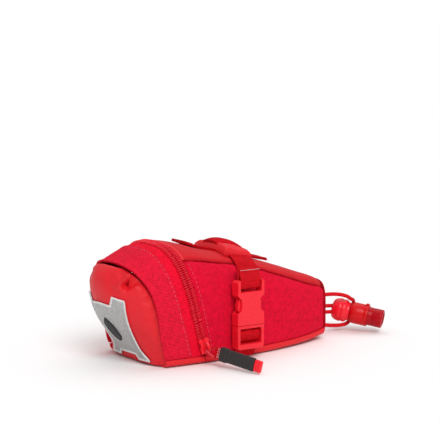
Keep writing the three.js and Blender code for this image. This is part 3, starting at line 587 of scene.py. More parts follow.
def shell(name, place, steps_s, steps_t, thick, material, relief=None, puff=None):
    """A closed cloth sheet. place(s, t) gives its outer face, puff the most that it swells and
    the pressure in it, and relief(edges, point, s, t) moves that face out, edges being its
    distances from the four edges in millimetres."""
    columns, rows = steps_s + 1, steps_t + 1
    shares = [[(j / steps_s, i / steps_t) for j in range(columns)] for i in range(rows)]
    outer = np.array([[tuple(place(s, t)) for s, t in row] for row in shares])
    normal = np.cross(np.gradient(outer, axis=1), np.gradient(outer, axis=0))
    normal /= np.linalg.norm(normal, axis=2, keepdims=True)
    if np.sum(normal * (outer - np.array(MIDDLE))) < 0:
        normal = -normal
    u = np.zeros((rows, columns))
    v = np.zeros((rows, columns))
    u[:, 1:] = np.cumsum(np.linalg.norm(np.diff(outer, axis=1), axis=2), axis=1)
    v[1:, :] = np.cumsum(np.linalg.norm(np.diff(outer, axis=0), axis=2), axis=0)
    if puff:
        outer = inflate(outer, normal, *puff)
    if relief:
        for i, row in enumerate(shares):
            for j, (s, t) in enumerate(row):
                edges = (u[i, j], u[i, -1] - u[i, j], v[i, j], v[-1, j] - v[i, j])
                outer[i, j] += normal[i, j] * relief(edges, outer[i, j], s, t)
    inner = outer - normal * thick
    u -= u[:, -1:] / 2
    points = [*outer.reshape(-1, 3), *inner.reshape(-1, 3)]
    uvs = [*zip(u.ravel(), v.ravel())] * 2
    return mesh_of(name, points, sheet_faces(rows, columns), material, uvs, 60)


def inflate(outer, normal, cap, pressure):
    """Settles a sheet of cloth under pressure, sewn down along its edges. No point moves by more
    than cap millimetres."""
    rows, columns = outer.shape[:2]
    flat = outer.reshape(-1, 3)
    faces = grid_faces(rows, columns)
    if np.sum(np.cross(outer[0, 1] - outer[0, 0], outer[1, 0] - outer[0, 0]) * normal[0, 0]) < 0:
        faces = [f[::-1] for f in faces]
    mesh = bpy.data.meshes.new("settling")
    mesh.from_pydata([tuple(c * MM * SIM_SCALE for c in p) for p in flat], [], faces)
    obj = bpy.data.objects.new("settling", mesh)
    scene.collection.objects.link(obj)
    obj.vertex_groups.new(name="sewn").add(border_of(rows, columns), 1.0, "REPLACE")
    cloth = obj.modifiers.new("cloth", "CLOTH")
    settings = cloth.settings
    settings.quality = 4
    settings.mass = 0.3
    settings.shrink_min = -0.03
    settings.bending_stiffness = 0.2
    settings.vertex_group_mass = "sewn"
    settings.use_pressure = True
    settings.uniform_pressure_force = pressure
    settings.effector_weights.gravity = 0
    cloth.collision_settings.use_collision = False
    for number in range(1, SIM_FRAMES + 1):
        scene.frame_set(number)
    settled = obj.evaluated_get(bpy.context.evaluated_depsgraph_get()).to_mesh()
    moved = np.empty(len(flat) * 3)
    settled.vertices.foreach_get("co", moved)
    moved = moved.reshape(-1, 3) / (MM * SIM_SCALE) - flat
    bpy.data.objects.remove(obj)
    bpy.data.meshes.remove(mesh)
    scene.frame_set(1)
    length = np.linalg.norm(moved, axis=1, keepdims=True)
    moved *= np.minimum(1, cap / np.maximum(length, 1e-9))
    return outer + moved.reshape(outer.shape)


def smooth_path(points, spacing):
    """Points every spacing millimetres on a smooth curve through the given ones."""
    known = [Vector(p) for p in points]
    known = [known[0] * 2 - known[1], *known, known[-1] * 2 - known[-2]]
    made = []
    for a, b, c, d in zip(known, known[1:], known[2:], known[3:]):
        steps = max(1, round((c - b).length / spacing))
        for k in range(steps):
            t = k / steps
            cubic = (3 * b - a - 3 * c + d) * t * t * t
            made.append(0.5 * (2 * b + (c - a) * t + (2 * a - 5 * b + 4 * c - d) * t * t + cubic))
    return [*made, known[-2]]


def tube(name, path, radius, material, sides, closed=False, flat=1.0, lift=None):
    """A round tube along a path. flat is its depth along lift, its directions away from the
    cloth, as a share of its breadth."""
    rings, points, uvs = len(path), [], []
    out = None
    run = 0.0
    for i, p in enumerate(path):
        ahead = path[(i + 1) % rings] if closed or i + 1 < rings else p
        behind = path[i - 1] if closed or i else p
        way = (ahead - behind).normalized()
        out = lift[i] if lift else out or way.orthogonal()
        out = (out - way * out.dot(way)).normalized()
        run += (p - path[i - 1]).length if i else 0.0
        points += ring_of(p, out * flat, way.cross(out), radius, sides)
        uvs += [(k * 2 * math.pi * radius / sides, run) for k in range(sides)]
    return mesh_of(name, points, ring_faces(rings, sides, closed=closed), material, uvs)


def soften(obj, width):
    """Rounds a hard piece's edges."""
    bevel = obj.modifiers.new("round", "BEVEL")
    bevel.width = width * MM
    bevel.segments = 3
    bevel.limit_method = "ANGLE"
    bevel.angle_limit = math.radians(30)
    bevel.harden_normals = False
    return obj


def place_on(obj, body, slot, *nodes):
    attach(obj, body)
    if nodes:
        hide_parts(*nodes)
    return obj


def marks(path, pitch, first):
    """Where a dense path has run another pitch: the number of its point and its way there."""
    run, due = 0.0, first
    for i in range(1, len(path)):
        step = path[i] - path[i - 1]
        run += step.length
        if run >= due:
            due += pitch
            yield i, step.normalized()


def stitch_row(name, path, lifts, material, long, pitch, radius):
    """A row of short threads along a dense path, each dipping into the cloth at its ends."""
    points, faces = [], []
    sides, rings = 6, 5
    for i, way in marks(path, pitch, pitch / 2):
        out = (lifts[i] - way * lifts[i].dot(way)).normalized()
        faces += ring_faces(rings, sides, len(points))
        for r in range(rings):
            t = r / (rings - 1) * 2 - 1
            middle = path[i] + way * (t * long / 2) + out * (radius * (0.9 - 1.3 * t * t))
            points += ring_of(middle, out, way.cross(out), radius * (1 - 0.45 * t * t), sides)
    return mesh_of(name, points, faces, material, [(p.x, p.z) for p in points])


def stitches(name, path, lifts, material, body, *sizes):
    """A row of threads that rides a body."""
    return place_on(stitch_row(name, path, lifts, material, *sizes), body, "webbing")


# ---- seams
def groove(distance, depth, width=1.6):
    """The turned-in edge of a sewn panel."""
    return -depth * hump(distance, width)


def pucker(distance, run, amount):
    """Small gathers beside a seam."""
    return amount * hump(distance, 4) * math.sin(run * 0.9 + 2 * math.sin(run * 0.23))


def panel_relief(depths, puff):
    """Relief of a panel whose four edges, low and high in s and then in t, sink by depths."""

    def relief(edges, point, s, t):
        run = point[0] + point[2] * 0.7
        total = sag(point)
        for distance, depth in zip(edges, depths):
            total += groove(distance, depth) + pucker(distance, run, 0.16 * depth)
        return total + puff * smooth_step(min(edges) / 14)

    return relief


# ---- body panels
def add_body_panels(m):
    for side, name in SIDES:

        def side_place(s, t, side=side):
            x = mix(SIDE_EDGE_X, BODY_FRONT_X, t)
            return rim(x, s * (seam_at(x) - EDGE), side)

        relief = panel_relief((0.9, 1.1, 0.8, 1.0), 0.5)
        obj = shell(f"{name}_side_cloth", side_place, 46, 90, CLOTH, m["woven"], relief)
        place_on(obj, "bag", "woven_fabric", f"{name}_side_panel")

    def top_place(s, t):
        x = mix(FRONT_SEAM_X, BODY_FRONT_X, t)
        u = 2 * s - 1
        return rim(x, mix(1, seam_at(x) + EDGE, abs(u)), -1 if u < 0 else 1)

    relief = panel_relief((1.1, 1.1, 0.8, 0.9), 0.4)
    top = shell("top_cloth", top_place, 70, 90, CLOTH, m["coated_top"], relief)
    place_on(top, "bag", "coated_fabric", "top_panel")
    place = bottom_place(HINGE_X + GAP, BODY_FRONT_X)
    bottom = shell("bottom_cloth", place, 60, 70, CLOTH, m["coated"], bottom_relief)
    place_on(bottom, "bag", "coated_fabric", "bottom_panel")
    nose = shell("nose_cloth", nose_place, 36, 36, CLOTH, m["woven"], nose_relief)
    place_on(nose, "bag", "woven_fabric", "nose_panel")
    add_seam_piping(m)


def bottom_place(x0, x1):
    """The bottom panel, wrapped round the lower corners."""
    quarter = math.pi / 2 * CORNER

    def place(s, t):
        x = mix(x0, x1, t)
        half = along(x, "half")
        flat = half - CORNER
        reach = flat + quarter + (WRAP - 2 * GAP - CORNER)
        run = abs(2 * s - 1) * reach
        side = -1 if s < 0.5 else 1
        if run < flat:
            return lean(x, run, 0, side)
        angle = (run - flat) / CORNER
        if angle < math.pi / 2:
            return lean(x, flat + CORNER * math.sin(angle), CORNER * (1 - math.cos(angle)), side)
        return lean(x, half, CORNER + run - flat - quarter, side)

    return place


def bottom_relief(edges, point, s, t):
    """Only the turned-up edges are soft, so the part that rests stays flat."""
    side = min(edges[0], edges[1])
    return groove(side, 0.8, 1.2) + 0.35 * hump(side - 3.5, 2)


def section_half(x, h):
    """Half breadth of the end panels at a height up the lean."""
    height, half, power = along(x, "height"), along(x, "half"), along(x, "square")
    widest = WIDEST * height
    if h < CORNER:
        return half - CORNER + math.sqrt(max(CORNER**2 - (CORNER - h) ** 2, 0))
    if h < widest:
        return half
    share = min((h - widest) / (height - widest), 1)
    return half * max(1 - share**power, 0) ** (1 / power)


def nose_place(s, t):
    """The panel over the narrow end, its points closer together towards its edges."""
    across = math.sin((2 * s - 1) * math.pi / 2)
    top = along(NOSE_X, "height") * 0.995
    h = mix(0.4 + GAP, top - GAP, math.sin(t * math.pi / 2))
    return lean(NOSE_X, across * max(section_half(NOSE_X, h) - GAP, 0.05), h)


def nose_relief(edges, point, s, t):
    """A gentle crown inside a sunk edge."""
    inside = min(edges)
    return groove(inside, 0.9, 1.4) + 0.2 * sag(point)


def laid(places, lift):
    """A path over places (x, u) of the outline at a lift above it, and its ways out."""
    path = [over(x, u, lift) for x, u in places]
    return path, [over(x, u, lift + 1) - p for (x, u), p in zip(places, path)]


def add_seam_piping(m):
    """Thin coated piping where the top meets the sides, and round the nose."""
    for side, name in SIDES:
        path, lifts = [], []
        for i in range(121):
            x = mix(FRONT_SEAM_X + 0.8, BODY_FRONT_X - 0.4, i / 120)
            path.append(rim(x, seam_at(x), side, 0.75))
            lifts.append((rim(x, seam_at(x), side) - path[-1]).normalized())
        obj = tube(f"{name}_seam_piping", path, 0.55, m["binding"], 8, lift=lifts)
        place_on(obj, "bag", "coated_fabric")
    path, lifts = laid([(BODY_FRONT_X + 0.6, mix(-1, 1, i / 150)) for i in range(151)], -0.5)
    place_on(tube("nose_piping", path, 0.75, m["binding"], 10, lift=lifts), "bag", "coated_fabric")


# ---- zip
def arch_shell(name, xs, lift, steps_t, thick, material, relief=None, steps_s=150, half=1):
    """A strip of cloth over the bag between two values of x, from u = -half to half."""

    def place(s, t):
        return over(mix(*xs, t), mix(-half, half, s), lift)

    return shell(name, place, steps_s, steps_t, thick, material, relief)


def tooth_row(name, xs, phase, material, body, node):
    """The coil's teeth along one edge of the zip, every one a rounded loop across the chain."""
    steps, rings, sides = 900, 7, 6
    x = (xs[0] + xs[1]) / 2
    reach = (xs[1] - xs[0]) / 2 + 0.3
    spots = [over(x, mix(-1, 1, i / steps), COIL_LIFT) for i in range(steps + 1)]
    points, faces, uvs = [], [], []
    for i, way in marks(spots, TOOTH_PITCH, TOOTH_PITCH * phase):
        u = mix(-1, 1, i / steps)
        out = (over(x, u, 1) - over(x, u, 0)).normalized()
        side = way.cross(out).normalized()
        faces += ring_faces(rings, sides, len(points))
        for r in range(rings):
            t = r / (rings - 1) * 2 - 1
            middle = spots[i] + side * (t * reach) - out * (0.15 + 1.0 * t**4)
            points += ring_of(middle, out, way, 0.52 * (1 - 0.2 * t * t), sides)
            uvs += [(t, 2 * math.pi * k / sides) for k in range(sides)]
    place_on(mesh_of(name, points, faces, material, uvs, 70), body, "zip_coil", node)


def add_zip(m):
    tooth_row("body_coil_teeth", BODY_COIL_X, 0.5, m["coil"], "bag", "body_zip_coil")
    tooth_row("lid_coil_teeth", LID_COIL_X, 1.0, m["coil"], "lid", "lid_zip_coil")
    # A narrow strip of tape lies under each row of teeth.
    strip = arch_shell("body_coil_tape", BODY_STRIP_X, -1.5, 4, 0.7, m["tape"])
    place_on(strip, "bag", "webbing", "body_zip_tape")
    strip = arch_shell("lid_coil_tape", LID_STRIP_X, -1.5, 4, 0.7, m["tape"])
    place_on(strip, "lid", "webbing")

    def fold(edges, point, s, t):
        inside = min(edges[2], edges[3])
        return 0.7 * math.sqrt(min(inside / 1.1, 1)) + 0.4 * sag(point)

    # The folded binding ends at the top panel's seams. Beside it, stitches go on down the sides.
    half = 1 - seam_at(FRONT_SEAM_X)
    binding = arch_shell("zip_binding", BINDING_X, -0.3, 8, 1.0, m["coated"], fold, 90, half)
    place_on(binding, "bag", "coated_fabric")
    for side in (-1, 1):
        us = [side * mix(half + 0.03, 0.96, i / 240) for i in range(241)]
        path, lifts = laid([(SIDE_EDGE_X + 2.4, u) for u in us], 0.1)
        stitches(f"side_stitches_{side}", path, lifts, m["thread"], "bag", 2.2, 3.4, 0.22)
    tape = arch_shell("rear_tape_cloth", LID_TAPE_X, -0.35, 12, 1.0, m["tape"], tape_relief)
    place_on(tape, "lid", "webbing", "lid_zip_tape")


def tape_relief(edges, point, s, t):
    return groove(edges[3], 0.5, 1.2) + 0.5 * sag(point)


# ---- lid
def outward(x, h):
    """The way out of the rear: along the lean, and level near the foot."""
    angle = math.radians(along(x, "lean"))
    return Vector((-math.cos(angle), 0, -math.sin(angle) * min(h / LEVEL_BELOW, 1)))


def rear_bulge(across, up):
    """How far the rear panel stands out at a share of its half breadth and of its height."""
    rise = 4.0 + 12 * smooth_step((up - 0.08) / 0.6) + bow(REAR_EDGE_X, up)
    return rise * (1 - up**22) * (1 - abs(across) ** 2.2)


def to_segment(p, a, b):
    """Distance from p to the stretch a-b in the plane."""
    ax, ay = b[0] - a[0], b[1] - a[1]
    px, py = p[0] - a[0], p[1] - a[1]
    t = min(max((px * ax + py * ay) / (ax * ax + ay * ay), 0), 1)
    return math.hypot(px - t * ax, py - t * ay)


def pleat(y, h):
    """The fold at an upper corner of the rear panel: a hooked ridge over a deep crease."""
    p = (abs(y), h)
    ridge = min(to_segment(p, a, b) for a, b in zip(PLEAT, PLEAT[1:]))
    crease = to_segment(p, *CREASE)
    return 2.6 * hump(ridge, 1.5) - 8.0 * hump(crease, 2.4)


def creases(y, h):
    """The pull's side has the deep fold, the other side only a trace of it."""
    return pleat(y, h) * (1.0 if y < 0 else 0.15)


def rear_point(y, h):
    height = along(REAR_EDGE_X, "height")
    half = section_half(REAR_EDGE_X, h)
    push = SHEET + rear_bulge(min(abs(y) / max(half, 0.1), 1), h / height)
    return lean(REAR_EDGE_X, y, h) + outward(REAR_EDGE_X, h) * push


def rear_spot(s, t):
    """The place on the rear panel, across and up the lean, and how far it is from its edge."""
    height = along(REAR_EDGE_X, "height")
    h = mix(0.6, height - 0.4, math.sin(t * math.pi / 2))
    across = math.sin((2 * s - 1) * math.pi / 2)
    y = across * max(section_half(REAR_EDGE_X, h) - 0.4, 0.05)
    return y, h, rear_bulge(abs(across), h / height)


def rear_place(s, t):
    """The panel's edge is tucked in under the band."""
    y, h, rise = rear_spot(s, t)
    inset = SEAM_DEPTH * (1 - smooth_step(rise / 4.5))
    top = (h / along(REAR_EDGE_X, "height")) ** 3
    point = rear_point(y, h)
    point.y -= math.copysign(inset * min(abs(y) / 20, 1), y)
    point.z -= inset * top
    point.x += 2.6 * (1 - smooth_step(rise / 2.0))
    return point


def rear_relief(edges, point, s, t):
    y, h, rise = rear_spot(s, t)
    return creases(y, h) * smooth_step(rise / 3) + 0.5 * sag(point)


class Surface:
    """The finished rear panel, to lay thin pieces on."""

    tree = None

    @classmethod
    def of(cls, obj):
        mesh = obj.data
        points = [v.co / MM for v in mesh.vertices]
        cls.tree = BVHTree.FromPolygons(points, [tuple(p.vertices) for p in mesh.polygons])

    @classmethod
    def at(cls, y, h, proud):
        """The point above a place on the rear panel, and the way out of it."""
        step = 0.5
        a = rear_point(y + step, h) - rear_point(y - step, h)
        b = rear_point(y, h + step) - rear_point(y, h - step)
        out = a.cross(b).normalized()
        out = out if out.x < 0 else -out
        hit, normal, _, _ = cls.tree.ray_cast(rear_point(y, h) + out * 15, -out)
        normal = normal if normal.x < 0 else -normal
        return hit + out * proud, (normal + out).normalized()


def add_lid(m):
    rear = shell(
        "rear_cloth", rear_place, 120, 96, CLOTH, m["coated"], rear_relief, puff=(0.7, 1.5)
    )
    Surface.of(rear)
    place_on(rear, "lid", "coated_fabric", "rear_panel", "rear_foam")

    def band_relief(edges, point, s, t):
        hem = 0.7 * hump(edges[2], 2.2) + 0.35 * hump(edges[3], 1.5)
        return sag(point, 0.6) + hem + groove(min(edges[:2]), 0.8)

    band_xs = (REAR_X - 1.5, BAND_FRONT_X)
    band = arch_shell("band_cloth", band_xs, BAND_LIFT, 26, 1.7, m["ballistic"], band_relief)
    place_on(band, "lid", "woven_fabric", "lid_band")
    place = bottom_place(REAR_X - 1.2, HINGE_X - GAP)
    bottom = shell("lid_bottom_cloth", place, 60, 24, CLOTH, m["coated"], bottom_relief)
    place_on(bottom, "lid", "coated_fabric", "lid_bottom_panel")
    places = [(BAND_FRONT_X - 1.6, mix(-0.99, 0.99, i / 600)) for i in range(601)]
    path, lifts = laid(places, BAND_LIFT)
    path = [p + d * sag(p, 0.6) for p, d in zip(path, lifts)]
    stitches("band_front_stitches", path, lifts, m["thread"], "lid", 2.2, 3.4, 0.24)
    add_patch(m)


def patch_half(h):
    """Half breadth of the rear patch: flared at its foot, a little wider again at its horns."""
    return 17.6 + 8.5 * hump(h, 8.5) + 4.8 * smooth_step((h - 12) / 45)


def patch_outline(size):
    """Lowest and highest height of the patch at a share of its half breadth."""
    low = PATCH_NOTCH if size < 0.5 else PATCH_FOOT
    if size < HORN_START:
        return low, PATCH_DIP + 1.6 * math.cos(math.pi / 2 * size / HORN_START)
    if size < HORN_PEAK:
        return low, mix(PATCH_DIP, HORN_TIP, (size - HORN_START) / (HORN_PEAK - HORN_START))
    return low, mix(HORN_TIP, HORN_EDGE, (size - HORN_PEAK) / (1 - HORN_PEAK))


def patch_shares():
    """Columns of the patch as shares of its half breadth, close together where it has corners."""
    corners = [0.49, 0.505, HORN_START, 0.58, 0.62, HORN_PEAK]
    half = [i / 24 for i in range(12)] + corners + [i / 24 for i in range(17, 25)]
    return [-s for s in half[:0:-1]] + half


def on_patch(share, t, proud):
    low, high = patch_outline(abs(share))
    h = mix(low, high, t)
    return Surface.at(share * patch_half(h), h, proud)[0]


def add_patch(m):
    shares = patch_shares()
    last = len(shares) - 1

    def place(s, t):
        return on_patch(shares[round(s * last)], t, 0.75)

    film = shell("patch_film", place, last, 60, 0.5, m["film"])
    place_on(film, "lid", "reflective_film", "reflective_patch")
    lower = [on_patch(s, 0, 0.85) for s in shares]
    upper = [on_patch(s, 1, 0.85) for s in reversed(shares)]
    right = [on_patch(-1, t / 40, 0.85) for t in range(39, 0, -1)]
    left = [on_patch(1, t / 40, 0.85) for t in range(1, 40)]
    outline = even_path(lower + left + upper + right, 0.8)
    lifts = [Vector((-0.93, 0, -0.3))] * len(outline)
    edge = tube("patch_edge", outline, 0.95, m["white"], 8, closed=True, flat=0.55, lift=lifts)
    place_on(edge, "lid", "reflective_film")
    for side, name in SIDES:
        spots = [Surface.at(side * (patch_half(h) - 3.2), h, 0.75) for h in np.linspace(9, 53, 220)]
        path, lifts = zip(*spots)
        stitches(f"{name}_patch_stitches", path, lifts, m["grey_thread"], "lid", 2.2, 3.0, 0.22)
    add_badge(m)


def even_path(points, spacing):
    """The same closed line with its points spaced evenly."""
    ring = [*points, points[0]]
    made, left = [], 0.0
    for a, b in zip(ring, ring[1:]):
        length = (b - a).length
        while left < length:
            made.append(a.lerp(b, left / length))
            left += spacing
        left -= length
    return made


def add_badge(m):
    """A plain six-sided rubber badge with a raised rim."""
    half_wide, half_tall, middle = 6.6, 11.5, 31.0
    sides, rings = 72, 26
    sixth = math.pi / 3

    def place(angle, radius):
        corner = math.cos(sixth / 2) / math.cos(angle % sixth - sixth / 2)
        reach = radius * mix(1, corner, 0.75)
        raised = 0.55 * hump(radius - 0.86, 0.07)
        inner = 0.35 * hump(radius - 0.45, 0.1)
        edge = -0.7 * max(radius - 0.93, 0) / 0.07
        y = half_wide * reach * math.sin(angle)
        h = middle + half_tall * reach * math.cos(angle)
        return Surface.at(y, h, 1.4 + raised + inner + edge)[0]

    points = []
    for j in range(rings + 1):
        points += [place(2 * math.pi * i / sides, max(j / rings, 0.01)) for i in range(sides)]
    points += [p + Vector((0.75, 0, 0.2)) for p in points[-sides:]]
    uvs = [(p.y, p.z) for p in points]
    badge = mesh_of("badge_plate", points, ring_faces(rings + 2, sides), m["badge"], uvs, 60)
    place_on(badge, "lid", "badge", "badge")


# ---- straps
def strap_x(u):
    return mix(STRAP_TOP_X, STRAP_END_X, (abs(u) / STRAP_HALF_U) ** 3)


def strap_lift(u):
    return 0.5 + 1.9 * hump(u, 0.36)


def strap_spot(u):
    """The middle of the strap over the top, at a place across the bag."""
    return over(strap_x(u), u, strap_lift(u) + 0.65)


def webbing_relief(edges, point, s, t):
    """Rounded selvedges."""
    return groove(min(edges[0], edges[1]), 0.45, 0.8)


def ribbon(name, path, across, width, thick, material):
    """A strip of webbing along a path, across[i] pointing over its width at path[i]."""
    columns = 13
    lifts = lifts_of(path, across)
    points, uvs = [], []
    for layer in (0.5, -0.5):
        run = 0.0
        for i, p in enumerate(path):
            run += (p - path[i - 1]).length if i else 0
            for j in range(columns):
                s = j / (columns - 1)
                edge = 1 - 0.5 * abs(2 * s - 1) ** 12
                offset = lifts[i] * (layer * thick * edge)
                points.append(p + across[i] * ((s - 0.5) * width) + offset)
                uvs.append(((s - 0.5) * width, run))
    return mesh_of(name, points, sheet_faces(len(path), columns), material, uvs, 60)


def lifts_of(path, across):
    """The ways out of a ribbon's face along its path."""
    made = []
    for i, way_over in enumerate(across):
        way = path[min(i + 1, len(path) - 1)] - path[max(i - 1, 0)]
        made.append(way_over.cross(way).normalized())
    return made


def add_straps(m):
    path = [strap_spot(mix(-DROP_U, DROP_U, i / 110)) for i in range(111)]
    ways = [Vector((1, 0, -0.12)).normalized()] * len(path)
    strap = ribbon("cross_strap", path, ways, WEBBING, 1.3, m["webbing"])
    place_on(strap, "bag", "webbing", "cross_webbing")
    for side, name in SIDES:
        add_drop(m, side, name)
        add_lower_webbing(m, side, name)
    add_strip(m)
    add_pad(m)


def add_drop(m, side, name):
    """The strap from the shoulder to the buckle, round its bar and back up to a bar tack."""
    front = BUCKLE_BACK + BUCKLE_THICK - 1.2
    back = BUCKLE_BACK + 1.3
    route = [
        strap_spot(DROP_U - 0.03),
        strap_spot(DROP_U),
        (9.4, 39.6, 65.5),
        (7.0, 43.2, 62.6),
        (5.4, front - 1.2, 59.6),
        (STRAP_X, front, 56.6),
        (STRAP_X, front, 53.9),
        (STRAP_X, front - 1.1, 52.6),
        (STRAP_X, back + 1.1, 52.6),
        (STRAP_X, back, 53.9),
        (STRAP_X, back, 57.0),
        (5.6, back - 0.6, 60.4),
        (7.4, 40.0, 63.6),
        (9.2, 37.6, 66.2),
    ]
    path = [Vector((x, side * y, z)) for x, y, z in smooth_path(route, 0.7)]
    ways = [Vector((1, 0, 0))] * len(path)
    drop = ribbon(f"{name}_strap_drop", path, ways, WEBBING - 0.6, 1.2, m["webbing"])
    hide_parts(f"{name}_webbing_turn")
    row = next(i for i, p in enumerate(path) if p.z < TACK_HEIGHT and abs(p.y) > 40.5)
    out = (path[row + 1] - path[row]).cross(ways[row]).normalized()
    out = out if out.y * side > 0 else -out
    line = [path[row] + ways[row] * mix(-8.2, 8.2, i / 80) + out * 0.75 for i in range(81)]
    lifts = [out] * len(line)
    tack = stitch_row(f"{name}_bar_tack", line, lifts, m["pale_thread"], 1.7, 1.9, 0.26)
    for obj in (drop, tack):
        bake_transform(obj)


def add_lower_webbing(m, side, name):
    """The webbing sewn into the bottom seam, forward through the male half's window."""
    back = BUCKLE_BACK
    route = [
        (STRAP_X + 1, 39.2, 1.6),
        (STRAP_X + 0.6, back - 1.0, 5.2),
        (STRAP_X, back - 0.9, 10.6),
        (STRAP_X, back + 1.0, 12.6),
        (STRAP_X, back + 4.6, 15.2),
        (STRAP_X, back + 6.2, 18.6),
        (STRAP_X, back + 5.2, 21.0),
        (STRAP_X, back + 3.2, 22.3),
    ]
    path = [Vector((x, side * y, z)) for x, y, z in smooth_path(route, 0.6)]
    ways = [Vector((1, 0, 0))] * len(path)
    obj = ribbon(f"{name}_lower_strap", path, ways, WEBBING - 0.8, 1.2, m["webbing"])
    place_on(obj, "bag", "webbing", f"{name}_lower_webbing")


def add_strip(m):
    """The webbing sewn lengthwise along the crest in two layers, thicker at its ends."""
    low, high = STRIP_X
    for layer, (bottom, top) in enumerate(((0.0, 0.95), (1.05, 2.0))):
        path = []
        for i in range(91):
            t = i / 90
            height = 0.5 + 0.8 * (hump(t, 0.1) + hump(1 - t, 0.1)) + (bottom + top) / 2
            trim = 0.15 * layer
            path.append(over(mix(low + trim, high - trim, t), 0, height))
        ways = [Vector((0, -1, 0))] * len(path)
        thick = (top - bottom) * 1.35
        strip = ribbon(f"top_strip_{layer}", path, ways, WEBBING, thick, m["webbing"])
        place_on(strip, "bag", "webbing", *(() if layer else ("top_strip",)))
    for k, x in enumerate((low + 4.5, low + 6.5, high - 6.5, high - 4.5)):
        across = [over(x, 0, 3.3) + Vector((0, mix(-7.5, 7.5, i / 60), 0)) for i in range(61)]
        up = [Vector((0.3, 0, 1)).normalized()] * len(across)
        stitches(f"strip_tack_{k}", across, up, m["thread"], "bag", 1.6, 2.1, 0.22)


def add_pad(m):
    """The coated pad under the saddle, with its edge pulled in by the sewing, and its keeper."""

    def place(s, t):
        u = mix(-PAD_HALF_U, PAD_HALF_U, s)
        x = STRAP_TOP_X + (t - 0.5) * PAD_LONG
        return over(x, u, strap_lift(u) + PAD_BASE + 0.9)

    def relief(edges, point, s, t):
        inside = min(edges)
        round_edge = math.sqrt(min(max(inside, 0) / 2.0, 1))
        channel = -0.54 * hump(inside - 4.4, 0.7)
        crown = 0.5 * smooth_step((inside - 4) / 6) + 0.8 * sag(point)
        return 3.6 * round_edge - 1.2 + channel + crown

    pad = shell("strap_pad_cloth", place, 70, 46, 2.2, m["coated"], relief, puff=(0.4, 0.8))
    place_on(pad, "bag", "coated_fabric", "strap_pad")

    def drape(s, t):
        """The keeper lies over the pad and its long edges turn down."""
        side = 2 * s - 1
        ends = math.sin(math.pi * min(max(t, 0.02), 0.98)) ** 0.4
        height = strap_lift(0) + PAD_BASE + 3.4 + 4.6 * ends - 3.8 * abs(side) ** 3 * ends
        return over(mix(*KEEPER_X, t), 0, height) + Vector((0, side * WEBBING / 2, 0))

    keeper = shell("keeper_webbing", drape, 24, 34, 1.5, m["webbing"], webbing_relief)
    place_on(keeper, "bag", "webbing", "pad_keeper")


# ---- hard parts kept from the CAD
def polish(node, material, width):
    """Gives a CAD piece its material and rounds its edges."""
    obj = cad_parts[node]
    obj.data.materials.clear()
    obj.data.materials.append(material)
    weld = obj.modifiers.new("weld", "WELD")
    weld.merge_threshold = 1e-5
    flat = obj.modifiers.new("flat", "DECIMATE")
    flat.decimate_type = "DISSOLVE"
    flat.angle_limit = math.radians(1)
    soften(obj, width)
    return obj


def add_hard_parts(m):
    for side in ("right", "left"):
        for half in ("female", "male"):
            polish(f"{side}_buckle_{half}", m["plastic"], 0.55)
        for end in ("front", "rear"):
            polish(f"{side}_{end}_arm", m["plastic"], 0.5)
        polish(f"{side}_zip_stop", m["plastic"], 0.2)
    polish("base_stiffener", m["board"], 0.3)
    polish("nose_anchor_plate", m["board"], 0.2)
    polish("toggle_spring", m["steel"], 0.05)
    for knot in ("upper_loop_knot", "lower_loop_knot", "strand_knot"):
        polish(knot, m["cord"], 0.1)


# ---- pull
def pull_frame(turn=PULL_ROLL):
    """The pull's own directions: along it, across it and out of its broad face."""
    cos_yaw, sin_yaw = math.cos(PULL_YAW), math.sin(PULL_YAW)
    level = Vector((-sin_yaw, cos_yaw, 0))
    flat = math.cos(PULL_DROP)
    run = Vector((cos_yaw * flat, sin_yaw * flat, -math.sin(PULL_DROP)))
    upright = run.cross(level)
    c, s = math.cos(turn), math.sin(turn)
    return run, level * c + upright * s, upright * c - level * s


def bar(name, sections, material, square=5.0):
    """A bar along the pull from (distance, width, thickness) sections of a squarish outline."""
    run, across, up = pull_frame()
    sides = 32
    points, uvs = [], []
    for d, wide, thick in sections:
        for k in range(sides):
            a = 2 * math.pi * k / sides
            c, s = math.cos(a), math.sin(a)
            reach = (abs(c) ** square + abs(s) ** square) ** (-1 / square)
            y, z = wide / 2 * c * reach, thick / 2 * s * reach
            points.append(PULL_EYE + run * d + across * y + up * z)
            uvs.append((y, d))
    return mesh_of(name, points, ring_faces(len(sections), sides), material, uvs, 50)


def rounded_ends(start, end, wide, thick, radius=0.8):
    """Sections of a straight stretch whose two ends are rounded over."""
    made = []
    for i in range(6):
        a = math.pi / 2 * i / 5
        off = radius * (1 - math.sin(a))
        made.append((start + radius * (1 - math.cos(a)), wide - 2 * off, thick - 2 * off))
    return made + [(end - d + start, w, t) for d, w, t in reversed(made)]


def add_ring(m):
    """The wire ring, twisted between the slider's bridge and the tab."""
    near, far, reach = RING
    corners = []
    for x, y in ((0, -near), (0, near), (reach, far), (reach, -far)):
        run, across = pull_frame(PULL_ROLL * x / reach)[:2]
        corners.append(PULL_EYE + run * x + across * y)
    path = []
    for i, corner in enumerate(corners):
        before = (corners[i - 1] - corner).normalized() * 1.6
        after = (corners[(i + 1) % 4] - corner).normalized() * 1.6
        for k in range(7):
            t = k / 6
            path.append(corner + before * (1 - t) ** 2 + after * t * t)
    wire = tube("pull_ring", path, 0.75, m["wire"], 12, closed=True)
    place_on(wire, "pull", "zip_metal", "pull_wire")


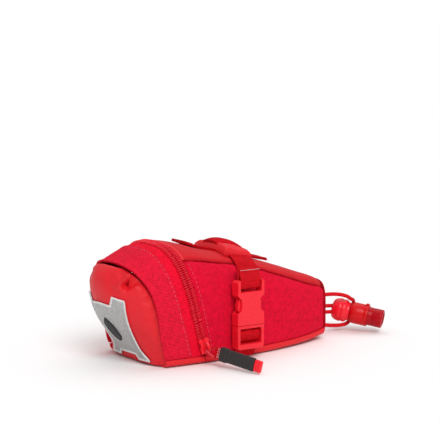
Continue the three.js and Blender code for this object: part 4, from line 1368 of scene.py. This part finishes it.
def add_pull(m):
    run, across, up = pull_frame()
    add_ring(m)
    tab = [(6.6, 7.6, 1.4), (6.9, 8, 2.6), (8.6, 8, 3.0), (9.4, 8, 2.6), (12.0, 8, 2.4)]
    place_on(bar("pull_tab", tab, m["webbing"], 4), "pull", "webbing", "pull_webbing")
    for k, d in enumerate((9.7, 10.9)):
        path = [PULL_EYE + run * d + across * mix(-3.7, 3.7, i / 40) + up * 1.3 for i in range(41)]
        lifts = [up] * len(path)
        name = f"pull_tab_stitch_{k}"
        stitches(name, path, lifts, m["pale_thread"], "pull", 1.5, 1.9, 0.26)
    tip_start = PULL_LONG - 5.7
    collar = rounded_ends(11.5, 17.5, PULL_WIDE + 1, PULL_THICK + 0.9)
    tail = rounded_ends(17.0, tip_start - GAP, PULL_WIDE, PULL_THICK, 0.5)
    # Shallow grip ribs run across the sleeve.
    ribs = []
    for i in range(60):
        d = mix(20, tip_start - 4, i / 59)
        dip = 0.18 * max(math.sin(2 * math.pi * (d - 20) / 2.6), 0)
        ribs.append((d, PULL_WIDE - dip, PULL_THICK - 2 * dip))
    grip = bar("pull_grip", collar + tail[:6] + ribs + tail[6:], m["rubber"])
    place_on(grip, "pull", "rubber", "pull_sleeve")
    end = rounded_ends(tip_start, PULL_LONG, PULL_WIDE - 1, PULL_THICK - 0.2)
    place_on(bar("pull_end", end, m["plastic"]), "pull", "buckle_plastic", "pull_tip")


# ---- slider
def add_slider(m):
    """The slider's upper plate, waisted like a real one, its lower plate, post and bridge."""
    lean_angle = math.radians(along(SLIDER_X, "lean"))
    side_way = Vector((math.cos(lean_angle), 0, math.sin(lean_angle)))
    up_way = Vector((-math.sin(lean_angle), 0, math.cos(lean_angle)))
    face = along(SLIDER_X, "half") + 0.7

    def at(x, out, z):
        return Vector((SLIDER_X, -(face + out), 0)) + side_way * x + up_way * (SLIDER_HEIGHT + z)

    def plate(name, outline, low, high, width):
        points = [at(x, out, z) for out in (low, high) for x, z in outline]
        uvs = [(p.x, p.z) for p in points]
        faces = ring_faces(2, len(outline))
        return soften(mesh_of(name, points, faces, m["plastic"], uvs, 50), width)

    half = [(0, -5.5), (2.2, -5.5), (3.6, -4.9), (4.2, -3.4), (3.9, -1.6), (3.3, 0.4)]
    half += [(3.5, 2.2), (4.3, 3.6), (4.2, 4.8), (3.0, 5.5), (1.4, 5.2), (0, 4.6)]
    outline = half + [(-x, z) for x, z in half[-2:0:-1]]
    upper = plate("slider_plate", outline, 0.0, 1.9, 0.5)
    lower = plate("slider_under", [(x * 0.78, z * 0.9) for x, z in outline], -5.0, -3.8, 0.3)
    post = plate("slider_post", [(-0.4, 1), (0.4, 1), (0.4, 4.4), (-0.4, 4.4)], -4.2, 0.4, 0.1)
    arch = []
    for i in range(25):
        arch.append(at(0, 1.6 + 5.0 * math.sin(math.pi * i / 24) ** 0.45, mix(-4.3, 4.3, i / 24)))
    lifts = [side_way] * len(arch)
    bridge = tube("slider_bridge", arch, 0.62, m["plastic"], 14, flat=1.7, lift=lifts)
    place_on(upper, "slider", "buckle_plastic", "slider")
    for obj in (lower, post, bridge):
        place_on(obj, "slider", "buckle_plastic")


# ---- cords and toggle
def add_cords(m):
    path = smooth_path(LOOP_ROUTE, 0.9)
    loop = tube("seatpost_cord", path, CORD / 2, m["cord"], 14)
    place_on(loop, "cords", "elastic_cord", "seatpost_loop")
    declare_cord(loop, path, [])
    strands = {}
    for name, rise in STRAND_HEIGHTS.items():
        path = smooth_path([(x, y, z + rise) for x, y, z in STRAND_ROUTE], 0.9)
        strand = tube(f"{name}_cord", path, CORD / 2, m["cord"], 14)
        place_on(strand, "cords", "elastic_cord", f"{name}_strand")
        strands[name] = (strand, path)
    return strands


def declare_cord(obj, path, with_pieces):
    length = sum((b - a).length for a, b in zip(path, path[1:]))
    tuple(c * MM for c in path[0])
    [tuple(c * MM for c in p) for p in path]
    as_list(with_pieces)


def toggle_matrix():
    """From the toggle's own directions, x along its axis, to the bag's."""
    side = Vector((-TOGGLE_AXIS.y, TOGGLE_AXIS.x, 0)).normalized()
    turn = Matrix((TOGGLE_AXIS, side, TOGGLE_AXIS.cross(side))).transposed()
    return Matrix.Translation(TOGGLE_CENTRE) @ turn.to_4x4()


def lathe(name, profile, material, shape=None):
    """A turned piece along the toggle's axis from (radius, distance) points."""
    matrix = toggle_matrix()
    sides = 64
    points, uvs = [], []
    for r, d in profile:
        for k in range(sides):
            a = 2 * math.pi * k / sides
            size = r * (shape(a, r, d) if shape else 1)
            points.append(matrix @ Vector((d, size * math.cos(a), size * math.sin(a))))
            uvs.append((a * r, d))
    return mesh_of(name, points, ring_faces(len(profile), sides), material, uvs, 40)


def arc(r0, d0, r1, d1, bulge, steps=8):
    """Profile points on a shallow arc between two (radius, distance) points."""
    length = math.hypot(r1 - r0, d1 - d0)
    made = []
    for i in range(steps + 1):
        t = i / steps
        swell = bulge * 4 * t * (1 - t) / length
        made.append((mix(r0, r1, t) + swell * (d1 - d0), mix(d0, d1, t) - swell * (r1 - r0)))
    return made


def add_toggle(m):
    head_profile = (
        [(0.3, -7.0), (3.5, -7.0)]
        + arc(5.2, -6.8, 8.6, -3.0, 0.8)
        + arc(8.9, -2.0, 8.9, 0.8, 0.15)
        + [(8.5, 1.1), (8.5, 1.7), (8.8, 2.0)]
        + arc(8.8, 2.2, 7.4, 5.4, 0.5)
        + [(7.1, 5.9), (7.1, 7.5), (6.6, 7.6), (0.3, 7.6)]
    )
    head = lathe("toggle_knob", head_profile, m["plastic"])
    place_on(head, "toggle", "buckle_plastic", "toggle_head")
    barrel_profile = (
        [(0.3, 7.9), (6.6, 7.9), (7.2, 8.1)]
        + arc(7.4, 8.4, 8.3, 10.2, 0.15, 4)
        + [(8.4, 11), (8.4, 18.6), (8.15, 18.9), (8.15, 19.3), (8.4, 19.6), (8.4, 21.6), (8.2, 22.0)]
        + [(7.7, 22.0), (7.6, 21.8), (7.6, 10.4), (7.2, 10.0), (0.3, 10.0)]
    )
    barrel = lathe("toggle_sleeve", barrel_profile, m["clear"])
    place_on(barrel, "toggle", "clear_plastic", "toggle_barrel")
    add_lug(m)
    plunger_profile = (
        [(0.3, 21.0), (5.6, 21.0), (5.6, 17.6), (5.8, 17.5), (7.1, 17.5), (7.2, 17.7)]
        + [(7.2, 25.0), (7.0, 25.3), (7.0, 25.9), (7.2, 26.2), (7.2, 32.4)]
        + arc(7.2, 32.5, 6.2, 33.9, 0.35, 5)
    )
    recess = [(5.3, 34.0), (4.9, 33.6), (4.6, 32.7), (0.3, 32.6)]
    plunger = lathe("toggle_button", plunger_profile + recess, m["dark"], shape=squarish)
    place_on(plunger, "plunger", "dark_plastic", "toggle_plunger")
    return head, barrel, plunger


def squarish(angle, radius, distance):
    """Only the recess in the button's end is a rounded square."""
    if distance < 32.55 or radius > 5.1:
        return 1
    c, s = abs(math.cos(angle)), abs(math.sin(angle))
    return 0.94 * (c**5 + s**5) ** (-1 / 5)


def add_lug(m):
    """The small lug on the sleeve's mouth."""
    matrix = toggle_matrix()
    points = []
    for d, r in ((18.6, 8.2), (19.2, 9.4), (21.4, 9.5), (21.9, 8.2)):
        for y in (-1.6, 1.6):
            points.append(matrix @ Vector((d, y, r)))
    faces = [(0, 1, 3, 2), (2, 3, 5, 4), (4, 5, 7, 6), (6, 7, 1, 0), (0, 2, 4, 6), (1, 7, 5, 3)]
    lug = mesh_of("toggle_lug", points, faces, m["clear"], [(p.x, p.z) for p in points])
    soften(lug, 0.35)
    place_on(lug, "toggle", "clear_plastic")


# ---- stage
def add_stage():
    floor = Graph("floor", (0.93, 0.93, 0.93), 0.85)
    floor.specular(0.1)
    floor.bump(floor.noise(30), 0.01)
    mesh = bpy.data.meshes.new("floor")
    corners = [(x * FLOOR_HALF, y * FLOOR_HALF, -0.0004) for x, y in ((-1, -1), (1, -1), (1, 1), (-1, 1))]
    mesh.from_pydata(corners, [], [(0, 1, 2, 3)])
    obj = bpy.data.objects.new("floor", mesh)
    scene.collection.objects.link(obj)
    mesh.materials.append(floor.material)
    obj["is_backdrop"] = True
    scene.world = make_world()
    scene.view_settings.view_transform = "Standard"
    add_sun("key", (-0.25, -0.8, 0.8), 34, 1.75)
    add_sun("top", (0.35, 0.25, 1.0), 60, 0.75)


def make_world():
    """A white backdrop that gives off less light than it shows."""
    world = bpy.data.worlds.new("studio")
    world.use_nodes = True
    tree = world.node_tree
    background = tree.nodes["Background"]
    background.inputs["Color"].default_value = (1, 1, 1, 1)
    seen = tree.nodes.new("ShaderNodeLightPath").outputs["Is Camera Ray"]
    strength = tree.nodes.new("ShaderNodeMapRange")
    strength.inputs["To Min"].default_value = AMBIENT
    strength.inputs["To Max"].default_value = BACKDROP
    tree.links.new(seen, strength.inputs["Value"])
    tree.links.new(strength.outputs["Result"], background.inputs["Strength"])
    return world


def add_sun(name, towards, spread, strength):
    """A very soft lamp far away in a direction, so it lights the whole floor evenly."""
    data = bpy.data.lights.new(name, "SUN")
    data.angle = math.radians(spread)
    data.energy = strength
    obj = bpy.data.objects.new(name, data)
    obj.location = Vector(towards)
    obj.rotation_mode = "QUATERNION"
    obj.rotation_quaternion = Vector(towards).to_track_quat("Z", "Y")
    scene.collection.objects.link(obj)


add_camera()
materials = make_materials()
cord_strands = add_cords(materials)
toggle_pieces = add_toggle(materials)
declare_cord(*cord_strands["upper"], [*toggle_pieces, "toggle_spring"])
declare_cord(*cord_strands["lower"], [])
add_body_panels(materials)
add_zip(materials)
add_lid(materials)
add_straps(materials)
add_hard_parts(materials)
add_pull(materials)
add_slider(materials)
add_stage()

low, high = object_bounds()
sizes = {"cad": [list(cad_low), list(cad_high)], "visual": [list(low), list(high)]}
{k: [[float(c) for c in p] for p in v] for k, v in sizes.items()}
